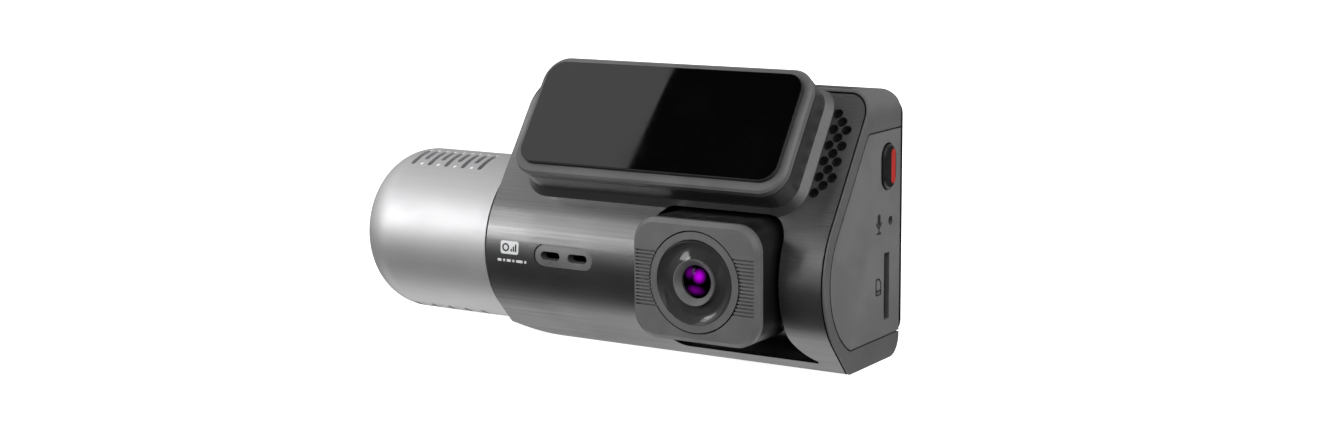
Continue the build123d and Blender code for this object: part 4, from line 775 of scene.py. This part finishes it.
class DASHCAM_OT_paint_inside(bpy.types.Operator):
    """Gives the boards, sockets, screws and other inner pieces their finishes"""

    bl_idname = "dashcam.paint_inside"
    bl_label = "Paint inside"

    def execute(self, context):
        paint({
            circuit_board("solder mask"): [
                "main_board", "gps_board", "key_board", "sensor_board", "cabin_board",
            ],
            moulded("inner plastic", (0.025, 0.025, 0.027), 0.5): [
                "inner_frame", "lens_holder", "lens_cradle",
            ],
            brushed("screw steel", (0.5, 0.5, 0.52), 0.3, 0.1, metallic=1.0): [
                "frame_screws", "board_screws", "pod_screws", "socket_screws",
            ],
            brushed("tin plate", (0.55, 0.55, 0.56), 0.32, 0.1, metallic=1.0): [
                "processor_shield", "card_socket", "usb_socket", "drum_washer",
            ],
            brushed("heat sink", (0.42, 0.43, 0.45), 0.38, 0.12, metallic=1.0): ["heat_sink"],
            moulded("chip epoxy", (0.02, 0.02, 0.022), 0.5, depth=0.006): [
                "processor", "image_sensor", "cabin_sensor", "key_switch", "av_socket",
            ],
            moulded("gap pad", (0.34, 0.42, 0.5), 0.7): ["thermal_pad"],
            gloss_film("capacitor sleeve", (0.02, 0.025, 0.05), 0.25): ["supercapacitors"],
            moulded("antenna ceramic", (0.5, 0.45, 0.36), 0.45): ["gps_antenna"],
            moulded("microphone can", (0.5, 0.49, 0.45), 0.3, metallic=0.9): ["microphone"],
            moulded("speaker basket", (0.03, 0.03, 0.032), 0.5): ["speaker"],
            moulded("speaker cone", (0.05, 0.05, 0.053), 0.6, grain=1800.0): ["speaker_cone"],
            woven_mesh("speaker mesh"): ["speaker_mesh"],
            moulded("washer nylon", (0.6, 0.6, 0.58), 0.5): ["tilt_washers"],
        })
        return {"FINISHED"}


def paint(finishes):
    """Puts each material on its CAD nodes."""
    for material, names in finishes.items():
        for name in names:
            data = frame["nodes"][name].data
            data.materials.clear()
            data.materials.append(material)


class DASHCAM_OT_add_badge(bpy.types.Operator):
    """Prints the pale badge, its mark and the dashes under it on the front arc"""

    bl_idname = "dashcam.add_badge"
    bl_label = "Add badge"

    def execute(self, context):
        sizes = context.scene.dashcam_badge
        pale = moulded("pale ink", sizes.ink, 0.4, depth=0.002, tone=0.03, dust=0.0)
        dark = moulded("dark ink", sizes.dark_ink, 0.5, depth=0.002, tone=0.05, dust=0.0)
        middle_x = BODY_LEFT + sizes.inset + sizes.width / 2
        middle_z = AXIS_TO_BADGE

        plate = bmesh.new()
        add_plate(plate, sizes.width, sizes.height, sizes.film, 0.45 * MM, centre=(0.0, middle_z))
        slice_along_z(plate)
        wrap_on_front(plate, middle_x)
        finish_piece("badge_plate", plate, "body", pale)

        mark = bmesh.new()
        add_ring(mark, 0.78 * MM, 0.50 * MM, 2 * sizes.film, (-0.85 * MM, middle_z))
        for step, height in enumerate(MARK_BARS):
            x = (0.45 + 0.5 * step) * MM
            z = middle_z + (height / 2 - 0.7) * MM
            add_plate(mark, 0.3 * MM, height * MM, 2 * sizes.film, centre=(x, z))
        wrap_on_front(mark, middle_x)
        finish_piece("badge_mark", mark, "body", dark)

        dashes = bmesh.new()
        x = -sizes.inset / 2 - sizes.width / 4 - 0.1 * MM
        for width in DASHES:
            centre = (x + width / 2 * MM, -AXIS_TO_BADGE)
            add_plate(dashes, width * MM, 0.5 * MM, sizes.film, 0.12 * MM, 3, centre)
            x += (width + DASH_GAP) * MM
        wrap_on_front(dashes, middle_x)
        finish_piece("badge_dashes", dashes, "body", pale)
        return {"FINISHED"}


class DASHCAM_OT_add_pictograms(bpy.types.Operator):
    """Prints a microphone sign and a card sign on the right end"""

    bl_idname = "dashcam.add_pictograms"
    bl_label = "Add pictograms"

    def execute(self, context):
        sizes = context.scene.dashcam_badge
        ink = moulded("end ink", sizes.dark_ink, 0.5, depth=0.002, tone=0.05, dust=0.0)
        film = sizes.film

        sign = bmesh.new()
        add_plate(sign, 1.7 * MM, 0.8 * MM, film, 0.39 * MM, 6, (0.55 * MM, 0.0))
        add_ring(sign, 0.85 * MM, 0.62 * MM, film, (0.2 * MM, 0.0), 14, 180.0, 90.0)
        add_plate(sign, 0.75 * MM, 0.24 * MM, film, centre=(-0.98 * MM, 0.0))
        add_plate(sign, 0.26 * MM, 1.3 * MM, film, centre=(-1.42 * MM, 0.0))
        lay_on_end(sign, AXIS.y + SIGN_FORWARD, AXIS.z + MICROPHONE_UP)
        finish_piece("microphone_sign", sign, "body", ink, smooth=False)

        card = bmesh.new()
        wide, tall = CARD_SIGN
        for length, height, centre in (
            (wide, CARD_LINE, (0.0, tall / 2)),
            (wide * 0.72, CARD_LINE, (-wide * 0.14, -tall / 2)),
            (CARD_LINE, tall, (-wide / 2, 0.0)),
            (CARD_LINE, tall * 0.62, (wide / 2, tall * 0.19)),
        ):
            add_plate(card, length, height, film, centre=centre)
        slant = bmesh.new()
        add_plate(slant, wide * 0.36, CARD_LINE, film)
        bmesh.ops.rotate(
            slant, verts=slant.verts, cent=(0.0, 0.0, 0.0),
            matrix=Matrix.Rotation(math.radians(-42.0), 3, "Y"),
        )
        bmesh.ops.translate(slant, verts=slant.verts, vec=(wide * 0.36, 0.0, -tall * 0.33))
        spare = bpy.data.meshes.new("slant")
        slant.to_mesh(spare)
        slant.free()
        card.from_mesh(spare)
        bpy.data.meshes.remove(spare)
        for row in range(4):
            add_plate(card, 0.42 * MM, 0.16 * MM, film,
                      centre=(-0.62 * MM, (row - 1.5) * 0.34 * MM))
        lay_on_end(card, AXIS.y + SIGN_FORWARD, AXIS.z + CARD_UP)
        finish_piece("card_sign", card, "body", ink, smooth=False)
        return {"FINISHED"}


class DASHCAM_OT_add_vent_studs(bpy.types.Operator):
    """Puts a small near-white stud in each round hole of the drum's vents, as a painted highlight
    """

    bl_idname = "dashcam.add_vent_studs"
    bl_label = "Add vent studs"

    def execute(self, context):
        # painted highlight: near-white studs stand in for the bright dots at the vent holes
        bright = moulded("stud polish", (0.95, 0.95, 0.95), 0.3, 0.05, depth=0.002,
                         tone=0.03, dust=0.0)
        studs = bmesh.new()
        for column in range(VENT_COLUMNS):
            x = BODY_LEFT + VENT_FIRST + column * VENT_PITCH
            angles = [VENT_DOT_DEG] + ([VENT_LOW_DEG] if column % 2 else [])
            for angle in angles:
                for turn in (angle, 180.0 - angle, -angle, angle - 180.0):
                    slant = math.radians(turn)
                    outward = Vector((0.0, -math.cos(slant), math.sin(slant)))
                    place = Vector((x, AXIS.y, AXIS.z)) + outward * (DRUM_RADIUS - STUD_SINK)
                    add_stud(studs, place, outward)
        finish_piece("vent_studs", studs, "cabin_drum", bright)
        return {"FINISHED"}


def add_stud(mesh, place, outward):
    """One low dome that fills a vent hole, with a short stem behind it."""
    turn = outward.to_track_quat("Z", "Y").to_matrix().to_4x4()
    made = bmesh.ops.create_cone(
        mesh, cap_ends=True, segments=10, radius1=VENT_HOLE_RADIUS * 0.96,
        radius2=VENT_HOLE_RADIUS * 0.96, depth=0.5 * MM,
        matrix=Matrix.Translation(place) @ turn,
    )
    top = [v for v in made["verts"] if (v.co - place).dot(outward) > 0.0]
    rim = [e for e in mesh.edges if e.verts[0] in top and e.verts[1] in top]
    bmesh.ops.bevel(
        mesh, geom=rim, offset=0.16 * MM, segments=2, profile=0.5, affect="EDGES", material=-1
    )


class DASHCAM_OT_add_screen_marks(bpy.types.Operator):
    """Prints four plain touch signs under the screen"""

    bl_idname = "dashcam.add_screen_marks"
    bl_label = "Add screen marks"

    def execute(self, context):
        ink = moulded("screen ink", (0.35, 0.36, 0.38), 0.45, depth=0.002, dust=0.0)
        low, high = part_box("display_glass")
        panel_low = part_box("display_panel")[0]
        z = (low.z + panel_low.z) / 2 + 0.15 * MM
        middle = (low.x + high.x) / 2
        marks = bmesh.new()
        for place, outer, inner, sides, start in (
            (-1.5, 0.62, 0.46, 24, 0.0), (-0.5, 0.66, 0.5, 4, 0.0), (0.5, 0.7, 0.5, 3, 90.0),
        ):
            add_ring(marks, outer * MM, inner * MM, SCREEN_FILM, (place * TOUCH_SPACING, 0.0),
                     sides, start=start)
        for row in (-1, 0, 1):
            add_plate(marks, 1.2 * MM, 0.16 * MM, SCREEN_FILM,
                      centre=(1.5 * TOUCH_SPACING, row * 0.42 * MM))
        lay_on_rear(marks, middle, z)
        finish_piece("screen_marks", marks, "body", ink, smooth=False)
        return {"FINISHED"}


class DASHCAM_OT_add_contacts(bpy.types.Operator):
    """Adds gilt contacts on the power socket's tongue"""

    bl_idname = "dashcam.add_contacts"
    bl_label = "Add contacts"

    def execute(self, context):
        gilt = moulded("contact gilt", (0.83, 0.60, 0.24), 0.25, 0.05, depth=0.002,
                       metallic=1.0, dust=0.0)
        low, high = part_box("usb_socket")
        middle = (low + high) / 2
        contacts = bmesh.new()
        for side in (-1, 1):
            for column in range(CONTACT_COUNT):
                x = middle.x + (column - (CONTACT_COUNT - 1) / 2) * CONTACT_PITCH
                y = middle.y + side * CONTACT_OFF_MIDDLE
                bmesh.ops.create_cube(
                    contacts, size=1.0,
                    matrix=Matrix.Translation((x, y, high.z - CONTACT_SINK))
                    @ Matrix.Diagonal((*CONTACT_SIZE, 1.0)),
                )
        bmesh.ops.bevel(
            contacts, geom=list(contacts.edges), offset=0.012 * MM, segments=1, profile=0.5,
            affect="EDGES", material=-1,
        )
        finish_piece("usb_contacts", contacts, "body", gilt, smooth=False)
        return {"FINISHED"}


class DASHCAM_OT_set_stage(bpy.types.Operator):
    """Sets the pale floor, the soft lights and the camera"""

    bl_idname = "dashcam.set_stage"
    bl_label = "Set stage"

    def execute(self, context):
        settings = context.scene.dashcam_stage
        make_floor(settings.floor_tone)
        make_sky()
        aim = Vector((AXIS.x - AIM_LEFT, AXIS.y, AXIS.z))
        add_window_light(aim, settings.key_power)
        add_softbox("broad_light", BROAD_PLACE, aim, BROAD_SIZE, settings.broad_power)
        for name, place, size, power in SOFTBOXES:
            light = add_softbox(name, place, aim, size, getattr(settings, power))
            light.visible_glossy = False
        add_flag()
        data = bpy.data.cameras.new("camera")
        data.lens = settings.focal_length
        data.sensor_width = SENSOR_WIDTH
        data.clip_start = CLIP_START
        camera = bpy.data.objects.new("camera", data)
        context.scene.collection.objects.link(camera)
        camera.matrix_world = camera_place()
        context.scene.camera = camera
        context.scene.view_settings.view_transform = "Standard"
        return {"FINISHED"}


def camera_place():
    """The camera's place and turn."""
    round_z = math.radians(CAMERA_AZIMUTH)
    raised = math.radians(CAMERA_ELEVATION)
    roll = math.radians(CAMERA_ROLL)
    level = Vector((math.cos(round_z), math.sin(round_z), 0.0))
    ahead = Vector((-math.sin(round_z), math.cos(round_z), 0.0))
    forward = ahead * math.cos(raised) + Vector((0.0, 0.0, -math.sin(raised)))
    upward = level.cross(forward)
    right = math.cos(roll) * level + math.sin(roll) * upward
    up = -math.sin(roll) * level + math.cos(roll) * upward
    turn = Matrix((right, up, -forward)).transposed().to_4x4()
    return Matrix.Translation(CAMERA_PLACE) @ turn


def hide_from(thing, *rays):
    """Makes an object unseen by these kinds of ray."""
    for ray in rays:
        setattr(thing, "visible_" + ray, False)


def make_floor(tone):
    """A wide pale floor that the object stands on."""
    mesh = bmesh.new()
    bmesh.ops.create_circle(mesh, cap_ends=True, segments=96, radius=FLOOR_RADIUS)
    data = bpy.data.meshes.new("floor")
    mesh.to_mesh(data)
    mesh.free()
    material, tree, shader = new_material("floor paper")
    cloud = noise(tree, object_place(tree), 3.0)
    paper = blend_colours(tree, cloud, shade((tone,) * 3, 0.99), shade((tone,) * 3, 1.0))
    feed(tree, shader.inputs["Base Color"], paper)
    feed(tree, shader.inputs["Emission Color"], paper)
    shader.inputs["Emission Strength"].default_value = FLOOR_GLOW
    shader.inputs["Roughness"].default_value = 0.9
    data.materials.append(material)
    floor = bpy.data.objects.new("floor", data)
    bpy.context.scene.collection.objects.link(floor)
    floor.location.z = -FLOOR_DROP
    hide_from(floor, "glossy", "diffuse", "transmission")


def make_sky():
    """Soft surrounding light, dark low in front and behind; the camera sees it white."""
    world = bpy.data.worlds.new("studio")
    bpy.context.scene.world = world
    world.use_nodes = True
    tree = world.node_tree
    tree.nodes.clear()
    place = add_node(tree, "ShaderNodeTexCoord").outputs["Generated"]
    parts = add_node(tree, "ShaderNodeSeparateXYZ")
    feed(tree, parts.inputs[0], place)
    sky = add_node(tree, "ShaderNodeValToRGB")
    ramp = sky.color_ramp
    ramp.interpolation = "EASE"
    while len(ramp.elements) < len(SKY_TONES):
        ramp.elements.new(1.0)
    for stop, (rise, tone) in zip(ramp.elements, SKY_TONES):
        stop.position = (rise + 1) / 2
        stop.color = (tone, tone, tone, 1.0)
    feed(tree, sky.inputs["Fac"], remap(tree, parts.outputs["Z"], -1.0, 1.0, 0.0, 1.0))
    seen = add_node(tree, "ShaderNodeLightPath").outputs["Is Camera Ray"]
    behind = remap(tree, parts.outputs["Y"], -0.2, 0.6, 0.0, 1.0, smooth=True)
    shaded = blend_colours(tree, maths(tree, "MULTIPLY", behind, 1.0 - BEHIND_TONE),
                           sky.outputs["Color"], BLACK)
    under = remap(tree, parts.outputs["Z"], -0.60, -0.45, LOW_GLOW, 0.0, smooth=True)
    rearward = remap(tree, parts.outputs["Y"], -0.35, -0.05, 0.0, 1.0, smooth=True)
    glow = blend_colours(tree, maths(tree, "MULTIPLY", under, rearward), shaded, WHITE)
    background = add_node(tree, "ShaderNodeBackground")
    feed(tree, background.inputs["Color"], blend_colours(tree, seen, glow, WHITE))
    output = add_node(tree, "ShaderNodeOutputWorld")
    tree.links.new(background.outputs[0], output.inputs["Surface"])


def add_window_light(aim, power):
    """The key light: a window of two panes by two, whose bars show in the lens."""
    middle = Vector(WINDOW_PLACE)
    towards = (aim - middle).normalized()
    across = towards.cross(Vector((0.0, 0.0, 1.0))).normalized()
    upward = across.cross(towards)
    wide, tall = WINDOW_PANE
    for column in (-0.5, 0.5):
        for row in (-0.5, 0.5):
            shift = across * column * (wide + WINDOW_BAR) + upward * row * (tall + WINDOW_BAR)
            add_softbox("key_light", middle + shift, aim + shift, WINDOW_PANE, power)


def add_flag():
    """A black card that only reflections see: it darkens the right half of the liner."""
    low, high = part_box("pad_liner")
    eye = Vector(CAMERA_PLACE)
    slope = Vector((0.0, low.z - high.z, high.y - low.y)).normalized()
    edge = []
    for share, point in zip(FLAG_EDGE, (low, high)):
        spot = Vector((low.x + (high.x - low.x) * share, point.y, point.z))
        sight = (spot - eye).normalized()
        edge.append(spot + sight.reflect(slope) * FLAG_DISTANCE)
    run = (edge[1] - edge[0]).normalized()
    outward = Vector((1.0, 0.0, 0.0))
    mesh = bmesh.new()
    corners = [
        mesh.verts.new(edge[0] + run * along * FLAG_SIZE + outward * out * FLAG_SIZE)
        for along, out in ((-1, 0), (1, 0), (1, 1), (-1, 1))
    ]
    mesh.faces.new(corners)
    data = bpy.data.meshes.new("flag")
    mesh.to_mesh(data)
    mesh.free()
    data.materials.append(moulded("flag cloth", (0.0, 0.0, 0.0), 0.9, sheen=0.0))
    flag = bpy.data.objects.new("flag", data)
    bpy.context.scene.collection.objects.link(flag)
    hide_from(flag, "camera", "diffuse", "transmission", "shadow", "volume_scatter")


def add_softbox(name, place, aim, size, power):
    """A rectangular soft light that looks at a point; gives it back."""
    data = bpy.data.lights.new(name, "AREA")
    data.shape = "RECTANGLE"
    data.size, data.size_y = size
    data.energy = power
    light = bpy.data.objects.new(name, data)
    bpy.context.scene.collection.objects.link(light)
    light.location = place
    light.rotation_euler = (Vector(place) - aim).to_track_quat("Z", "Y").to_euler()
    return light


STEPS = (
    "paint_body",
    "paint_cameras",
    "paint_inside",
    "add_badge",
    "add_pictograms",
    "add_vent_studs",
    "add_screen_marks",
    "add_contacts",
    "set_stage",
)


class DASHCAM_PT_looks(bpy.types.Panel):
    """Lists the steps that dress the dash camera"""

    bl_idname = "DASHCAM_PT_looks"
    bl_label = "Dash camera"
    bl_space_type = "VIEW_3D"
    bl_region_type = "UI"
    bl_category = "Dash camera"

    def draw(self, context):
        for group in ("dashcam_badge", "dashcam_body", "dashcam_lens", "dashcam_stage"):
            box = self.layout.box()
            settings = getattr(context.scene, group)
            for name in settings.bl_rna.properties.keys():
                if name not in ("rna_type", "name"):
                    box.prop(settings, name)
        for step in STEPS:
            self.layout.operator("dashcam." + step)


GROUPS = {
    "dashcam_badge": BadgeSizes,
    "dashcam_body": BodyColours,
    "dashcam_lens": LensColours,
    "dashcam_stage": StageSettings,
}
CLASSES = (
    *GROUPS.values(),
    DASHCAM_OT_paint_body,
    DASHCAM_OT_paint_cameras,
    DASHCAM_OT_paint_inside,
    DASHCAM_OT_add_badge,
    DASHCAM_OT_add_pictograms,
    DASHCAM_OT_add_vent_studs,
    DASHCAM_OT_add_screen_marks,
    DASHCAM_OT_add_contacts,
    DASHCAM_OT_set_stage,
    DASHCAM_PT_looks,
)


def register():
    """Registers the classes and hangs the settings on the scene."""
    for made in CLASSES:
        bpy.utils.register_class(made)
    for name, made in GROUPS.items():
        setattr(bpy.types.Scene, name, bpy.props.PointerProperty(type=made))


def unregister():
    """Takes the settings and classes away again."""
    for name in GROUPS:
        delattr(bpy.types.Scene, name)
    for made in reversed(CLASSES):
        bpy.utils.unregister_class(made)


def main():
    """Dresses the camera step by step."""
    register()
    make_grain_group()
    make_brushed_group()
    make_handling_group()
    for step in STEPS:
        getattr(bpy.ops.dashcam, step)()


if __name__ == "__main__":
    main()
